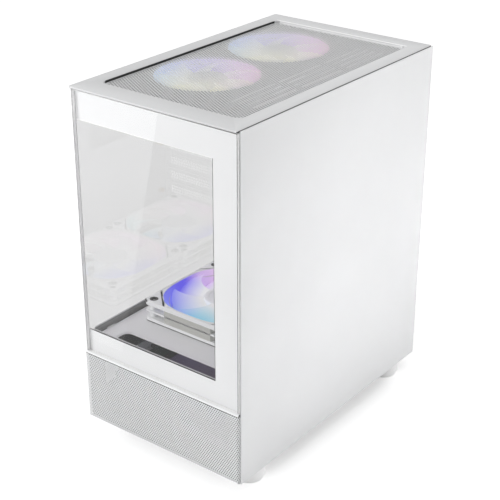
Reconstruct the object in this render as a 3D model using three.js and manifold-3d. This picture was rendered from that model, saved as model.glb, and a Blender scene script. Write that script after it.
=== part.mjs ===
// A micro-ATX tower case with a glass corner, five fans and a power-supply shroud.
// Millimetres, +Z up, the front faces -Y and the glass side faces -X.
// The origin lies on the floor, in the middle of the case's outer box.
import * as THREE from 'three';
import { mergeVertices } from 'three/addons/utils/BufferGeometryUtils.js';
import Module from 'manifold-3d';

const wasm = await Module();
wasm.setup();

// ---------- Overall size ----------
const WIDTH = 210; // left glass to right panel
const DEPTH = 337; // front glass to rear flanges
const BODY_HEIGHT = 378; // underside of the base to the top of the bezel
const FOOT_HEIGHT = 19; // floor to the underside of the base

// ---------- Materials and clearances ----------
const SHEET = 0.8; // steel sheet
const MOULDED = 2; // wall of a moulded plastic piece
const GLASS = 4; // tempered glass
const GAP = 0.3; // between two pieces that touch

// ---------- Front panel ----------
const FACE_DEPTH = 8; // front glass to the steel frame behind it
const FACE_STEP = 2; // the front panel's right edge lies this far inside the case's side
const GLASS_START = 84; // underside of the glass above the underside of the base
const GLASS_CLEARANCE = 0.5; // between a glass pane and the bezel above it
const TOP_BORDER = 31.5; // opaque border of the front window, from the top of the case
const RIGHT_BORDER = 31; // from the front panel's right edge
const BOTTOM_BORDER = 25; // from the underside of the glass
const MESH_LEDGE = 1; // between the underside of the glass and the mesh
const MESH_SHEET = 1; // perforated steel
const MESH_RETURN = 7; // how far the mesh is folded back at its edges
const CARRIER_PITCH = 38; // openings behind the mesh
const CARRIER_SLOT = 32;
const STUD_RADIUS = 2.5;
const STUD_REACH = 8; // snap stud past the back of the carrier
const STUD_INSET = 13; // stud to the edge of the carrier
const CARRIER_SETBACK = 0.6; // carrier behind the edge of the border
const FRAME_SETBACK = 1; // steel frame behind the edge of the border
const MESH_RIM = 1.5; // bare rim of the mesh
const MESH_PITCH = 23;
const MESH_HOLE = 10; // radius

// ---------- Right panel ----------
const PANEL_STEP = 2.7; // front edge behind the front glass
const PANEL_DROP = 0.5; // top edge below the top of the bezel
const HEM = 8;
const RAIL_REACH = 7; // rail inwards from the panel
const RAIL_LIP = 8; // height of the rail's upstand
const RAIL_SETBACK = 12; // front end of the rails behind the front glass
const TOP_RAIL_DROP = 11; // top rail below the top of the case
const FLANGE = 20; // rear flange
const RIGHT_SCREW_INSET = 40; // thumbscrew from the top and from the bottom of the body

// ---------- Left side ----------
const GLASS_BAY = 8; // side of the case to the chassis behind the glass
const GLASS_STRIP = 20; // width of the steel frame bonded inside the glass
const FRAME_INSET = 2; // that frame to the edges of the glass
const FRAME_LAP = 3; // its rear flange over the rear wall
const SILL = 3; // folded foot of the lower left panel
const EAR_WIDTH = 13; // screw ears past the chassis edge
const EAR_HEIGHT = 18;
const LEFT_SCREW_INSET = 22; // thumbscrew from the edges of the glass

// ---------- Top ----------
const BEZEL_DEPTH = 4; // height of the bezel's skirt with its sheet
const BORDER_FRONT = 27; // bezel border in front of the filter
const BORDER_REAR = 21;
const BORDER_LEFT = 17;
const BORDER_RIGHT = 20;
const OPENING_RADIUS = 9;
const BEZEL_GROOVE = 1; // between the bezel and the right panel
const FILTER_SHEET = 1.3;
const FILTER_PITCH = 33;
const FILTER_HOLE = 14.5; // radius
const PLATE_LIP = 12; // folded edges of the top plate and of the front frame
const VENT_PITCH = 10; // slots in the top plate and in the lower left panel
const VENT_SLOT = 5;
const VENT_INSET = [8, 6]; // top slots to the fans and to the tray
const GLASS_RADIUS = 1; // corners of a glass pane

// ---------- Thumbscrew ----------
const HEAD_REACH = 8; // head past the rear flange
const HEAD_RADIUS = 6;
const FLUTES = 9;
const FLUTE_DEPTH = 0.6;
const DRIVER_SLOT = [1.2, 1.5]; // width and depth
const SHANK_RADIUS = 1.75;
const SHANK_REACH = 9; // shank inwards from the flange

// ---------- Feet and base ----------
const FOOT_RADIUS = 18;
const FOOT_PAD = 3; // recessed pad under the foot
const FOOT_INSET = 21; // foot centre to the side of the case
const FOOT_EDGE = 2; // step and bevel round the pad
const FOOT_FRONT_INSET = 41.5; // foot centre behind the front glass
const FOOT_REAR_INSET = 33.5; // foot centre in front of the rear flanges
const BASE_LIP = 12; // upturned edges of the base
const INTAKE_BAR = 10; // solid edge of the filter round the intake
const INTAKE_PITCH = 12;
const INTAKE_SLOT = [7, 8]; // width in the base and in the filter
const FILTER_TO_FEET = [3, 13]; // filter to the left and to the right feet
const FILTER_PULL = 30; // width of its pull
const DUST_FILTER_LENGTH = 158;
const DUST_FILTER_SHEET = 2.2;
const FILTER_RAIL = 3; // lip that carries the sliding filter

// ---------- Shroud ----------
const SHROUD_HEIGHT = 100; // top of the shroud above the underside of the base
const SHROUD_LIP = 17; // folded left edge
const SHROUD_TAB = 2; // locating tab on the left edge
const BAR = 12; // solid bar round a cut-out in sheet
const HATCH_START = 13.5; // front cut-out behind the front glass
const HATCH_END = 34.5;
const HATCH_LEFT = 22; // cut-out to the left edge of the shroud
const HATCH_RIGHT = 19; // cut-out to the right edge of the shroud
const HATCH_RADIUS = 8;
const HATCH_HEM = 3; // folded edge round the cut-out

// ---------- Fans ----------
const FAN_SIZE = 120;
const FAN_DEPTH = 25;
const FAN_WALL = 2.5; // bore to the side of the frame
const FAN_HOLE_INSET = 7.5; // screw hole to the sides of the frame
const FAN_FLANGE = 4;
const DUCT_WALL = 1.8;
const STRUTS = 4;
const FAN_SIDES = 18; // facets of the round duct
const STRUT_DEPTH = 4;
const FAN_HUB = 20.5; // radius
const HUB_BEVEL = 2;
const FAN_SPACING = 0.5; // between the two fans of a pair
const BLADES = 7;
const BLADE_CLEARANCE = 2; // blade tip to bore
const BLADE_THICKNESS = 1.3;
const BLADE_CHORD = [24, 46]; // at the hub and at the tip
const BLADE_PITCH = [-42, -24]; // degrees, at the hub and at the tip; counter-clockwise edge low
const BLADE_CAMBER = 0.08; // share of the chord
const BLADE_SWEEP = -0.45; // radians from the root to the tip, counter-clockwise
const HUB_CLEARANCE = 1.5; // hub to the struts and to the open face
const PORT_STEP = 3; // port in a plate inside the fan's bore
const SHAFT_RADIUS = 1.6;
const SCREW_HOLE = 2.2; // radius
const TOP_FAN_INSET = 7; // left side of the chassis to the fans
const TOP_FAN_SHIFT = 9.3; // middle of the pair behind the middle of the inside
const SHROUD_FAN_INSET = 19;
const SHROUD_FAN_SHIFT = 14.8;

// ---------- Tray and the board it takes ----------
const CABLE_SPACE = 25; // outer side of the right panel to the tray
const TRAY_START = 35; // front edge of the tray behind the front glass
const STANDOFF = 6.35; // tray to board
const STANDOFF_RADIUS = 3;
const STANDOFF_STUD = 1.6; // radius
const BOARD_TOP = 28; // top edge of the board below the top of the case
const BOARD_REAR = 3; // rear edge of the board to the rear wall
const BOARD_COLUMNS = [10.16, 165.1, 237.49]; // holes from the rear edge of a board
const BOARD_ROWS = [10.16, 167.64, 233.68]; // holes from its top edge
const CPU_WINDOW = [112, 118]; // depth and height of the cut-out behind the processor
const CPU_WINDOW_INSET = 24; // to the rear wall, and below the top edge of the board
const BOARD_DEPTH = 244;
const CABLE_SLOT_HEIGHT = 78;
const POWER_SLOT = [46, 12]; // above the board, for the processor's supply cable
const CABLE_SLOT_SHARE = 0.375; // of the tray in front of the board: land before the slot, and the slot
const CABLE_SLOT_RISE = 35; // lower slot above the shroud
const CABLE_SLOT_STEP = 105;
const PASSAGE = [57, 50]; // tray cut-out below the shroud, depth and height
const PASSAGE_RISE = 24; // above the base
const TRAY_RADIUS = [6, 4]; // corners of the large and of the small cut-outs
const SSD = [100, 70];
const SSD_MARGIN = 4; // plate round the drive, and its feet
const SSD_WINDOW = 20; // radius
const SSD_WINDOW_SIDES = 12;
const HUB = [12, 80, 46]; // fan hub, along x, y and z
const SOCKET = [6, 8, 5]; // fan socket, along x, y and z
const SOCKET_PITCH = 11;

// ---------- Rear wall ----------
const IO_APERTURE = [44.45, 158.75]; // width and height
const IO_APERTURE_INSET = 4.7; // to the tray
const IO_APERTURE_TOP = 31; // below the top of the case
const SLOTS = 4;
const SLOT_PITCH = 20.32;
const SLOT_OPENING = [107, 14.5];
const SLOT_INSET = 8.7; // slot opening to the tray
const SLOT_LAND = 6; // slot opening to the tabs of the covers
const REAR_VENT_PITCH = 24;
const REAR_VENT = 10.5; // radius
const FIRST_SLOT = 10.75; // centre of the first slot below the aperture
const COVER_WIDTH = 18.4;
const COVER_TAB = 8.5; // screw tab past the rear wall
const CLAMP_FOOT = 12; // slot clamp's foot on the rear wall
const COVER_VENT = [11, 7];
const COVER_VENT_PITCH = 15;
const COVER_VENT_INSET = 8;
const SUPPLY = [150, 86]; // power supply, width and height
const SUPPLY_INSET = 9.2; // to the tray
const SUPPLY_RISE = 5; // above the underside of the base
const SUPPLY_PAD = [10, 10]; // length, and how far each end stops short of the supply
const REAR_FAN_INSET = 3.05; // left side of the chassis to the fan frame
const REAR_FAN_TOP = 37; // fan frame below the top of the case

// ---------- Drive cage ----------
const DRIVE = [101.6, 26.1]; // 3.5 inch drive, width and height
const DRIVE_CLEARANCE = 0.7;
const BAYS = 2;
const BAY_PITCH = 32;
const CAGE_LENGTH = 120;
const CAGE_START = 40; // behind the front glass
const CAGE_INSET = 14; // to the tray
const LEDGE = 4; // drive ledge, inwards and above the deck
const CAGE_WINDOW = [8, 20]; // side cut-out above the deck of its bay, from and to

// ---------- Connector strip ----------
const STRIP = [92, 17]; // length and height of its cut-out
const STRIP_START = 22; // behind the front glass
const STRIP_RISE = 42; // its centre above the underside of the base
const STRIP_FLANGE = 3; // round the back of the cut-out
const STRIP_RADIUS = 3;
const PORT_RECESS = 0.5; // connectors behind the face of the strip
const SWITCH = 2.3; // height of a switch on the connector board
const SWITCH_WIDTH = 5;
const COLLAR = 1.2; // collar of a button, in thickness and beyond its face
const JACK_BORE = 1.75;
const BOARD_OFFSET = 17; // side of the case to the connector board
const BOARD_SHEET = 1.6;
const POWER_AT = 11; // each along the strip from its front end
const POWER_RADIUS = 6.3;
const POWER_TRAVEL = 1.5;
const RESET_AT = 24;
const RESET_RADIUS = 2.8;
const RESET_TRAVEL = 1;
const POSTS_AT = [30.8, 88.7];
const USB_A_AT = [40, 57];
const USB_A = [13.1, 5.7];
const USB_C_AT = 70;
const USB_C = [8.9, 3.2];
const PORT_WALL = 0.4;
const PORT_FLOOR = 3; // its closed end
const AUDIO_AT = 81.5;
const AUDIO_RADIUS = 3.4;

// ---------- Places worked out from the sizes ----------
const LEFT = -WIDTH / 2;
const RIGHT = WIDTH / 2;
const FRONT = -(DEPTH + HEAD_REACH) / 2;
const REAR = FRONT + DEPTH;
const BOTTOM = FOOT_HEIGHT;
const TOP = BOTTOM + BODY_HEIGHT;

const floorTop = BOTTOM + SHEET;
const seat = floorTop + GAP; // what stands on the base starts here
const wallOuter = REAR - SHEET - GAP; // rear wall
const wallInner = wallOuter - SHEET;
const innerRear = wallInner - GAP;
const frameFront = FRONT + FACE_DEPTH; // steel front frame
const innerFront = frameFront + SHEET + GAP;
const chassisLeft = LEFT + GLASS_BAY;
const railInner = RIGHT - SHEET - RAIL_REACH;
const chassisRight = railInner - GAP;
const bezelBottom = TOP - BEZEL_DEPTH;
const plateTop = bezelBottom - GAP; // steel top plate
const plateBottom = plateTop - SHEET;
const innerTop = plateBottom - GAP;
const glassBottom = BOTTOM + GLASS_START;
const glassTop = TOP - MOULDED - GLASS_CLEARANCE;
const faceLeft = LEFT + GLASS + GAP;
const faceRight = RIGHT - FACE_STEP;
const windowTop = TOP - TOP_BORDER;
const windowRight = faceRight - RIGHT_BORDER;
const windowBottom = glassBottom + BOTTOM_BORDER;
const trayRight = RIGHT - CABLE_SPACE;
const trayLeft = trayRight - SHEET;
const shroudTop = BOTTOM + SHROUD_HEIGHT;
const apertureRight = trayLeft - IO_APERTURE_INSET;
const apertureLeft = apertureRight - IO_APERTURE[0];
const apertureTop = TOP - IO_APERTURE_TOP;
const apertureBottom = apertureTop - IO_APERTURE[1];
const slotRight = trayLeft - SLOT_INSET;
const slotLeft = slotRight - SLOT_OPENING[0];
const supplyRight = trayLeft - SUPPLY_INSET;
const supplyMiddle = supplyRight - SUPPLY[0] / 2;
const supplyZ = [BOTTOM + SUPPLY_RISE, BOTTOM + SUPPLY_RISE + SUPPLY[1]];
const fanBore = FAN_SIZE / 2 - FAN_WALL;
const fanHole = FAN_SIZE / 2 - FAN_HOLE_INSET;
const rearFanX = chassisLeft + REAR_FAN_INSET + FAN_SIZE / 2;
const rearFanZ = TOP - REAR_FAN_TOP - FAN_SIZE / 2;
const footX = WIDTH / 2 - FOOT_INSET;
const footY = [FRONT + FOOT_FRONT_INSET, REAR - FOOT_REAR_INSET];
const stripFront = FRONT + STRIP_START;
const stripZ = BOTTOM + STRIP_RISE;
const stripBack = LEFT + SHEET + GAP + MOULDED; // back face of the strip's flange
const leftScrewX = chassisLeft + EAR_WIDTH / 2;
const rightScrewX = RIGHT - SHEET - FLANGE / 2;
const leftScrewZ = [glassBottom + LEFT_SCREW_INSET, glassTop - LEFT_SCREW_INSET];
const rightScrewZ = [BOTTOM + RIGHT_SCREW_INSET, TOP - RIGHT_SCREW_INSET];
const studs = [
	[faceLeft + STUD_INSET, windowTop + STUD_INSET],
	[windowRight + STUD_INSET, windowTop + STUD_INSET],
	[windowRight + STUD_INSET, (windowTop + windowBottom) / 2],
	[windowRight + STUD_INSET, windowBottom - STUD_INSET],
	[faceLeft + STUD_INSET, windowBottom - STUD_INSET],
];

// ---------- Solids ----------
const ARC_STEPS = 2; // an outline's quarter turn gets twice as many segments

const GRID = 1024; // steps in a millimetre, so that faces meant to be flush are flush

function solid(geometry) {
	const bare = new THREE.BufferGeometry();
	const places = geometry.getAttribute('position').array.map((value) => Math.round(value * GRID) / GRID);
	bare.setAttribute('position', new THREE.BufferAttribute(places, 3));
	bare.setIndex(geometry.index);
	const merged = mergeVertices(bare);
	return new wasm.Manifold(new wasm.Mesh({
		numProp: 3,
		vertProperties: merged.attributes.position.array,
		triVerts: new Uint32Array(merged.index.array),
	}));
}

function box([x0, x1], [y0, y1], [z0, z1]) {
	const geometry = new THREE.BoxGeometry(x1 - x0, y1 - y0, z1 - z0);
	geometry.translate((x0 + x1) / 2, (y0 + y1) / 2, (z0 + z1) / 2);
	return solid(geometry);
}

// A path in the plane z = 0, extruded along z and then turned.
function prism(path, [from, to], turn) {
	const outline = new THREE.Shape(path.getPoints(ARC_STEPS));
	const geometry = new THREE.ExtrudeGeometry(outline, { depth: to - from, bevelEnabled: false });
	return solid(geometry.translate(0, 0, from).applyMatrix4(turn));
}

// A flat sheet: an outline extruded, less its holes.
function sheet(shape, [from, to], turn) {
	const tools = shape.holes.map((hole) => prism(hole, [from - 1, to + 1], turn));
	return wasm.Manifold.difference([prism(shape, [from, to], turn), ...tools]);
}

const ontoZ = new THREE.Matrix4();
const ontoY = new THREE.Matrix4().makeRotationX(Math.PI / 2);
const ontoX = new THREE.Matrix4().set(0, 0, 1, 0, 1, 0, 0, 0, 0, 1, 0, 0, 0, 0, 0, 1);

// Sheets that lie across the named axis, between two places on it.
function sheetZ(shape, span) {
	return sheet(shape, span, ontoZ);
}

function sheetY(shape, [y0, y1]) {
	return sheet(shape, [-y1, -y0], ontoY);
}

function sheetX(shape, span) {
	return sheet(shape, span, ontoX);
}

// A round bar along an axis, through the point at the other two coordinates.
function rodX(radius, [x0, x1], y, z, sides = 16) {
	const geometry = new THREE.CylinderGeometry(radius, radius, x1 - x0, sides);
	return solid(geometry.rotateZ(Math.PI / 2).translate((x0 + x1) / 2, y, z));
}

function rodY(radius, [y0, y1], x, z, sides = 16) {
	const geometry = new THREE.CylinderGeometry(radius, radius, y1 - y0, sides);
	return solid(geometry.translate(x, (y0 + y1) / 2, z));
}

function rodZ(radius, [z0, z1], x, y, sides = 16) {
	const geometry = new THREE.CylinderGeometry(radius, radius, z1 - z0, sides);
	return solid(geometry.rotateX(Math.PI / 2).translate(x, y, (z0 + z1) / 2));
}

function join(...solids) {
	return solids.reduce((whole, piece) => whole.add(piece));
}

function cut(whole, ...tools) {
	return tools.reduce((rest, tool) => rest.subtract(tool), whole);
}

// ---------- Outlines ----------
function trace(path, points) {
	path.moveTo(...points[0]);
	points.slice(1).forEach((point) => path.lineTo(...point));
	path.closePath();
	return path;
}

function polygon(points) {
	return trace(new THREE.Shape(), points);
}

function rectangle([u0, u1], [v0, v1], kind = THREE.Shape) {
	return trace(new kind(), [[u0, v0], [u1, v0], [u1, v1], [u0, v1]]);
}

function rounded([u0, u1], [v0, v1], radius, kind = THREE.Shape) {
	const path = new kind();
	const quarter = Math.PI / 2;
	path.moveTo(u0 + radius, v0);
	path.lineTo(u1 - radius, v0);
	path.absarc(u1 - radius, v0 + radius, radius, -quarter, 0);
	path.lineTo(u1, v1 - radius);
	path.absarc(u1 - radius, v1 - radius, radius, 0, quarter);
	path.lineTo(u0 + radius, v1);
	path.absarc(u0 + radius, v1 - radius, radius, quarter, 2 * quarter);
	path.lineTo(u0, v0 + radius);
	path.absarc(u0 + radius, v0 + radius, radius, 2 * quarter, 3 * quarter);
	return path;
}

function ring(u, v, radius, sides, kind = THREE.Path) {
	const angles = Array.from({ length: sides }, (_, i) => (i / sides) * 2 * Math.PI);
	return trace(new kind(), angles.map((a) => [u + radius * Math.cos(a), v + radius * Math.sin(a)]));
}

function punch(shape, ...holes) {
	shape.holes.push(...holes);
	return shape;
}

function around(middle, size) {
	return [middle - size / 2, middle + size / 2];
}

function shrink([low, high], by) {
	return [low + by, high - by];
}

// Centres of a row that fills a span evenly.
function row([low, high], pitch) {
	const count = Math.floor((high - low) / pitch) + 1;
	const first = (low + high - (count - 1) * pitch) / 2;
	return Array.from({ length: count }, (_, i) => first + i * pitch);
}

// Hexagonal holes in staggered rows, inside a rectangle and where keep allows them.
function honeycomb(uSpan, vSpan, pitch, radius, keep = () => true) {
	const rows = row(shrink(vSpan, radius), pitch * Math.sin(Math.PI / 3));
	const centres = rows.flatMap((v, i) => {
		const columns = row(shrink(uSpan, radius + (i % 2 ? pitch / 2 : 0)), pitch);
		return columns.map((u) => [u, v]);
	});
	return centres.filter(([u, v]) => keep(u, v)).map(([u, v]) => ring(u, v, radius, 6));
}

// Parallel slots along v, side by side in u.
function slots(uSpan, vSpan, pitch, width) {
	const kind = THREE.Path;
	return row(shrink(uSpan, width / 2), pitch).map((u) => rectangle(around(u, width), vSpan, kind));
}

// ---------- Finishes ----------
function finish(color, roughness, metalness, extra = {}) {
	return new THREE.MeshStandardMaterial({ color, roughness, metalness, ...extra });
}

const whiteSteel = () => finish(0xe6e6e8, 0.45, 0.1);
const whiteMesh = () => finish(0xc8c8c9, 0.55, 0.1);
const whitePlastic = () => finish(0xdcdcdd, 0.5, 0);
const clearGlass = () => finish(0xe2e6e6, 0.05, 0, { transparent: true, opacity: 0.25 });
const frostedBlade = () => finish(0xc9cdf0, 0.35, 0, { transparent: true, opacity: 0.9 });
const bareSteel = () => finish(0xb4b6b8, 0.35, 0.9);
const brass = () => finish(0xb8924a, 0.35, 0.95);
const darkPlastic = () => finish(0x2a2a2c, 0.55, 0);
const rubber = () => finish(0xb9b9bb, 0.9, 0);
const circuitBoard = () => finish(0x1e4a32, 0.6, 0);
const blackSteel = () => finish(0x2b2a2d, 0.5, 0.1);

// ---------- Base ----------
const footSide = footX - FOOT_RADIUS;
const filterX = [FILTER_TO_FEET[0] - footSide, footSide - FILTER_TO_FEET[1]];
const filterY = [REAR - DUST_FILTER_LENGTH, REAR];
const filterZ = [BOTTOM - GAP - DUST_FILTER_SHEET, BOTTOM - GAP];
const intakeX = shrink(filterX, INTAKE_BAR);
const intakeY = shrink(filterY, INTAKE_BAR);
const baseLeft = LEFT + SHEET + SILL + GAP;

function basePan() {
	const floor = rectangle([baseLeft, chassisRight], [FRONT + MESH_RETURN + GAP, wallOuter]);
	punch(floor, ...slots(intakeX, intakeY, INTAKE_PITCH, INTAKE_SLOT[0]));
	const lip = [BOTTOM, BOTTOM + BASE_LIP];
	const length = [innerFront, innerRear];
	return join(
		sheetZ(floor, [BOTTOM, floorTop]),
		box([baseLeft, baseLeft + SHEET], length, lip),
		box([chassisRight - SHEET, chassisRight], length, lip),
		filterRail(filterX[0] - GAP, -1),
		filterRail(filterX[1] + GAP, 1),
	);
}

// An angle under the base that the dust filter slides in; side points away from the filter.
function filterRail(x, side) {
	const lipTop = filterZ[0] - GAP;
	const outline = polygon([
		[x, BOTTOM],
		[x, lipTop],
		[x - side * FILTER_RAIL, lipTop],
		[x - side * FILTER_RAIL, lipTop - SHEET],
		[x + side * SHEET, lipTop - SHEET],
		[x + side * SHEET, BOTTOM],
	]);
	return sheetY(outline, [filterY[0], wallOuter]);
}

function dustFilter() {
	const frame = rounded(filterX, filterY, MOULDED);
	punch(frame, ...slots(shrink(intakeX, MOULDED), intakeY, INTAKE_PITCH, INTAKE_SLOT[1]));
	const middle = (filterX[0] + filterX[1]) / 2;
	const pull = box(around(middle, FILTER_PULL), [REAR - MOULDED, REAR], [filterZ[0] - MOULDED, filterZ[0]]);
	return join(sheetZ(frame, filterZ), pull);
}

function foot() {
	const height = FOOT_HEIGHT - GAP;
	const pad = FOOT_RADIUS - FOOT_EDGE;
	const profile = [
		[0, 0], [pad - FOOT_EDGE / 2, 0], [pad, FOOT_EDGE / 2], [pad, FOOT_PAD],
		[FOOT_RADIUS, FOOT_PAD], [FOOT_RADIUS, height], [0, height],
	];
	return solid(lathe(profile, 20));
}

// A turned solid; the profile holds radius and height, from the axis back to the axis.
function lathe(profile, sides) {
	const points = profile.map(([radius, height]) => new THREE.Vector2(radius, height));
	return new THREE.LatheGeometry(points, sides).rotateX(Math.PI / 2);
}

function supplyPad() {
	const [length, inset] = SUPPLY_PAD;
	return box(around(supplyMiddle, SUPPLY[0] - 2 * inset), around(0, length), [0, SUPPLY_RISE - SHEET - 2 * GAP]);
}

// ---------- Rear wall and expansion slots ----------
const tabX = slotLeft - SLOT_LAND;
const slotZ = (index) => apertureBottom - FIRST_SLOT - index * SLOT_PITCH;
const slotBank = [slotZ(SLOTS - 1) - SLOT_PITCH / 2, slotZ(0) + SLOT_PITCH / 2];
const indices = (count) => Array.from({ length: count }, (_, i) => i);

function rearWall() {
	const notch = railInner - GAP;
	const side = RIGHT - SHEET - GAP;
	const lowNotch = BOTTOM + RAIL_LIP + GAP;
	const highNotch = TOP - TOP_RAIL_DROP - RAIL_LIP - GAP;
	const wall = polygon([
		[chassisLeft, seat], [notch, seat], [notch, lowNotch], [side, lowNotch],
		[side, highNotch], [notch, highNotch], [notch, innerTop], [chassisLeft, innerTop],
	]);
	const inFan = (x, z) => Math.hypot(x - rearFanX, z - rearFanZ) < fanBore - REAR_VENT;
	const fanX = around(rearFanX, FAN_SIZE);
	const fanZ = around(rearFanZ, FAN_SIZE);
	const screw = SHANK_RADIUS + GAP;
	punch(
		wall,
		rectangle([apertureLeft, apertureRight], [apertureBottom, apertureTop], THREE.Path),
		rectangle([supplyRight - SUPPLY[0], supplyRight], supplyZ, THREE.Path),
		rectangle([tabX - SHEET - GAP, tabX + GAP], slotBank, THREE.Path),
		...indices(SLOTS).map((i) => rectangle([slotLeft, slotRight], around(slotZ(i), SLOT_OPENING[1]), THREE.Path)),
		...honeycomb(fanX, fanZ, REAR_VENT_PITCH, REAR_VENT, inFan),
		...corners(rearFanX, rearFanZ, fanHole).map(([x, z]) => ring(x, z, SCREW_HOLE, 6)),
		...leftScrewZ.map((z) => ring(leftScrewX, z, screw, 8)),
		...rightScrewZ.map((z) => ring(rightScrewX, z, screw, 8)),
	);
	return join(
		sheetY(wall, [wallInner, wallOuter]),
		box([tabX + GAP, tabX + GAP + SHEET], [wallInner, wallOuter + COVER_TAB], slotBank),
	);
}

function corners(u, v, reach) {
	return [[-1, -1], [1, -1], [1, 1], [-1, 1]].map(([a, b]) => [u + a * reach, v + b * reach]);
}

// A slot cover, drawn for the slot whose centre is at height 0.
function slotCover() {
	const plate = rectangle([tabX - SHEET, slotRight + COVER_WIDTH / 4], around(0, COVER_WIDTH));
	const vents = row(shrink([slotLeft, slotRight], COVER_VENT_INSET), COVER_VENT_PITCH);
	const [length, height] = COVER_VENT;
	punch(plate, ...vents.map((x) => rectangle(around(x, length), around(0, height), THREE.Path)));
	const tab = box([tabX - SHEET, tabX], [innerRear - SHEET, wallOuter + COVER_TAB], around(0, COVER_WIDTH - 1));
	return join(sheetY(plate, [innerRear - SHEET, innerRear]), tab);
}

function slotClamp() {
	const face = tabX - SHEET - GAP;
	const foot = [wallOuter + GAP, wallOuter + GAP + SHEET];
	const height = shrink(slotBank, GAP);
	return join(
		box([face - SHEET, face], [foot[0], wallOuter + COVER_TAB], height),
		box([face - CLAMP_FOOT, face - SHEET / 2], foot, height),
	);
}

// ---------- Top plate and front frame ----------
const topFans = fanPair(TOP_FAN_INSET, TOP_FAN_SHIFT);
const shroudFans = fanPair(SHROUD_FAN_INSET, SHROUD_FAN_SHIFT);

function fanPair(inset, shift) {
	const middle = (innerFront + innerRear) / 2 + shift;
	return around(middle, FAN_SIZE + FAN_SPACING).map((y) => [chassisLeft + inset + FAN_SIZE / 2, y]);
}

function fanPorts(centres) {
	return centres.flatMap(([x, y]) => [
		ring(x, y, fanBore - PORT_STEP, FAN_SIDES),
		...corners(x, y, fanHole).map(([u, v]) => ring(u, v, SCREW_HOLE, 6)),
	]);
}

function topPlate() {
	const plate = rectangle([chassisLeft, chassisRight], [frameFront, wallOuter]);
	const ventX = [topFans[0][0] + FAN_SIZE / 2 + VENT_INSET[0], trayLeft - VENT_INSET[1]];
	const ventY = [topFans[0][1] - fanHole, topFans[1][1] + fanHole];
	punch(plate, ...fanPorts(topFans), ...slots(ventX, ventY, VENT_PITCH, VENT_SLOT));
	const lip = [plateTop - PLATE_LIP, plateTop];
	const length = [innerFront, innerRear];
	return join(
		sheetZ(plate, [plateBottom, plateTop]),
		box([chassisLeft, chassisLeft + SHEET], length, lip),
		box([chassisRight - SHEET, chassisRight], length, lip),
		box([chassisLeft, trayLeft - GAP], [innerRear - SHEET, innerRear], lip),
	);
}

// The part of the front that lies behind the opaque border, as an outline open on the left.
function borderOutline(left, right, bottom, top, setback) {
	const edge = windowRight + setback;
	const sill = windowBottom - setback;
	const head = windowTop + setback;
	return [[left, bottom], [right, bottom], [right, top], [left, top], [left, head], [edge, head], [edge, sill], [left, sill]];
}

function frontFrame() {
	const frame = polygon(borderOutline(chassisLeft, chassisRight, seat, innerTop, FRAME_SETBACK));
	const intake = [[chassisLeft + BAR, chassisRight - BAR], [seat + BAR, shroudTop - BAR]];
	punch(frame, rounded(...intake, HATCH_RADIUS, THREE.Path));
	punch(frame, ...studs.map(([x, z]) => ring(x, z, STUD_RADIUS + GAP, 8)));
	const lip = [BOTTOM + BASE_LIP + GAP, plateTop - PLATE_LIP - GAP];
	return join(
		sheetY(frame, [frameFront, frameFront + SHEET]),
		box([chassisRight - SHEET, chassisRight], [frameFront, frameFront + PLATE_LIP], lip),
	);
}

// ---------- Front panel ----------
const meshTop = glassBottom - MESH_LEDGE;
const carrierFront = FRONT + GLASS + GAP;
const carrierBack = frameFront - GAP;

function frontGlass() {
	return sheetY(rounded([faceLeft, faceRight], [glassBottom, glassTop], GLASS_RADIUS), [FRONT, FRONT + GLASS]);
}

function frontCarrier() {
	const inMesh = MESH_SHEET + GAP;
	const step = meshTop + GAP;
	const upper = borderOutline(faceLeft, faceRight, step, glassTop, CARRIER_SETBACK);
	const lower = [[LEFT + inMesh, step], [LEFT + inMesh, BOTTOM + inMesh], [faceRight - inMesh, BOTTOM + inMesh], [faceRight - inMesh, step]];
	const plate = polygon([...lower, ...upper.slice(1), [faceLeft, step]]);
	punch(plate, ...slots([LEFT + BAR, faceRight - BAR], [BOTTOM + BAR, meshTop - BAR / 2], CARRIER_PITCH, CARRIER_SLOT));
	return join(
		sheetY(plate, [carrierFront, carrierFront + MOULDED]),
		box([faceRight - MOULDED, faceRight], [carrierFront, carrierBack], [step, glassTop]),
		box([faceLeft, faceRight], [carrierFront, carrierBack], [glassTop - MOULDED, glassTop]),
		...studs.map(([x, z]) => rodY(2 * STUD_RADIUS, [carrierFront, carrierBack], x, z, 8)),
		...studs.map(([x, z]) => rodY(STUD_RADIUS, [carrierFront, carrierBack + STUD_REACH], x, z, 8)),
	);
}

function frontMesh() {
	const spanX = [LEFT, faceRight];
	const spanZ = [BOTTOM, meshTop];
	const depth = [FRONT, FRONT + MESH_RETURN];
	const rim = MESH_SHEET + MESH_RIM;
	const face = rectangle(spanX, spanZ);
	punch(face, ...honeycomb(shrink(spanX, rim), shrink(spanZ, rim), MESH_PITCH, MESH_HOLE));
	return join(
		sheetY(face, [FRONT, FRONT + MESH_SHEET]),
		box([LEFT, LEFT + MESH_SHEET], depth, spanZ),
		box([faceRight - MESH_SHEET, faceRight], depth, spanZ),
		box(spanX, depth, [BOTTOM, BOTTOM + MESH_SHEET]),
		box(spanX, [FRONT, carrierFront - GAP], [meshTop - MESH_SHEET, meshTop]),
	);
}

// ---------- Top bezel and filter ----------
const bezelRight = RIGHT - SHEET - BEZEL_GROOVE;
const openingX = [LEFT + BORDER_LEFT, bezelRight - BORDER_RIGHT + MOULDED];
const openingY = [FRONT + BORDER_FRONT, REAR - BORDER_REAR];

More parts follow.
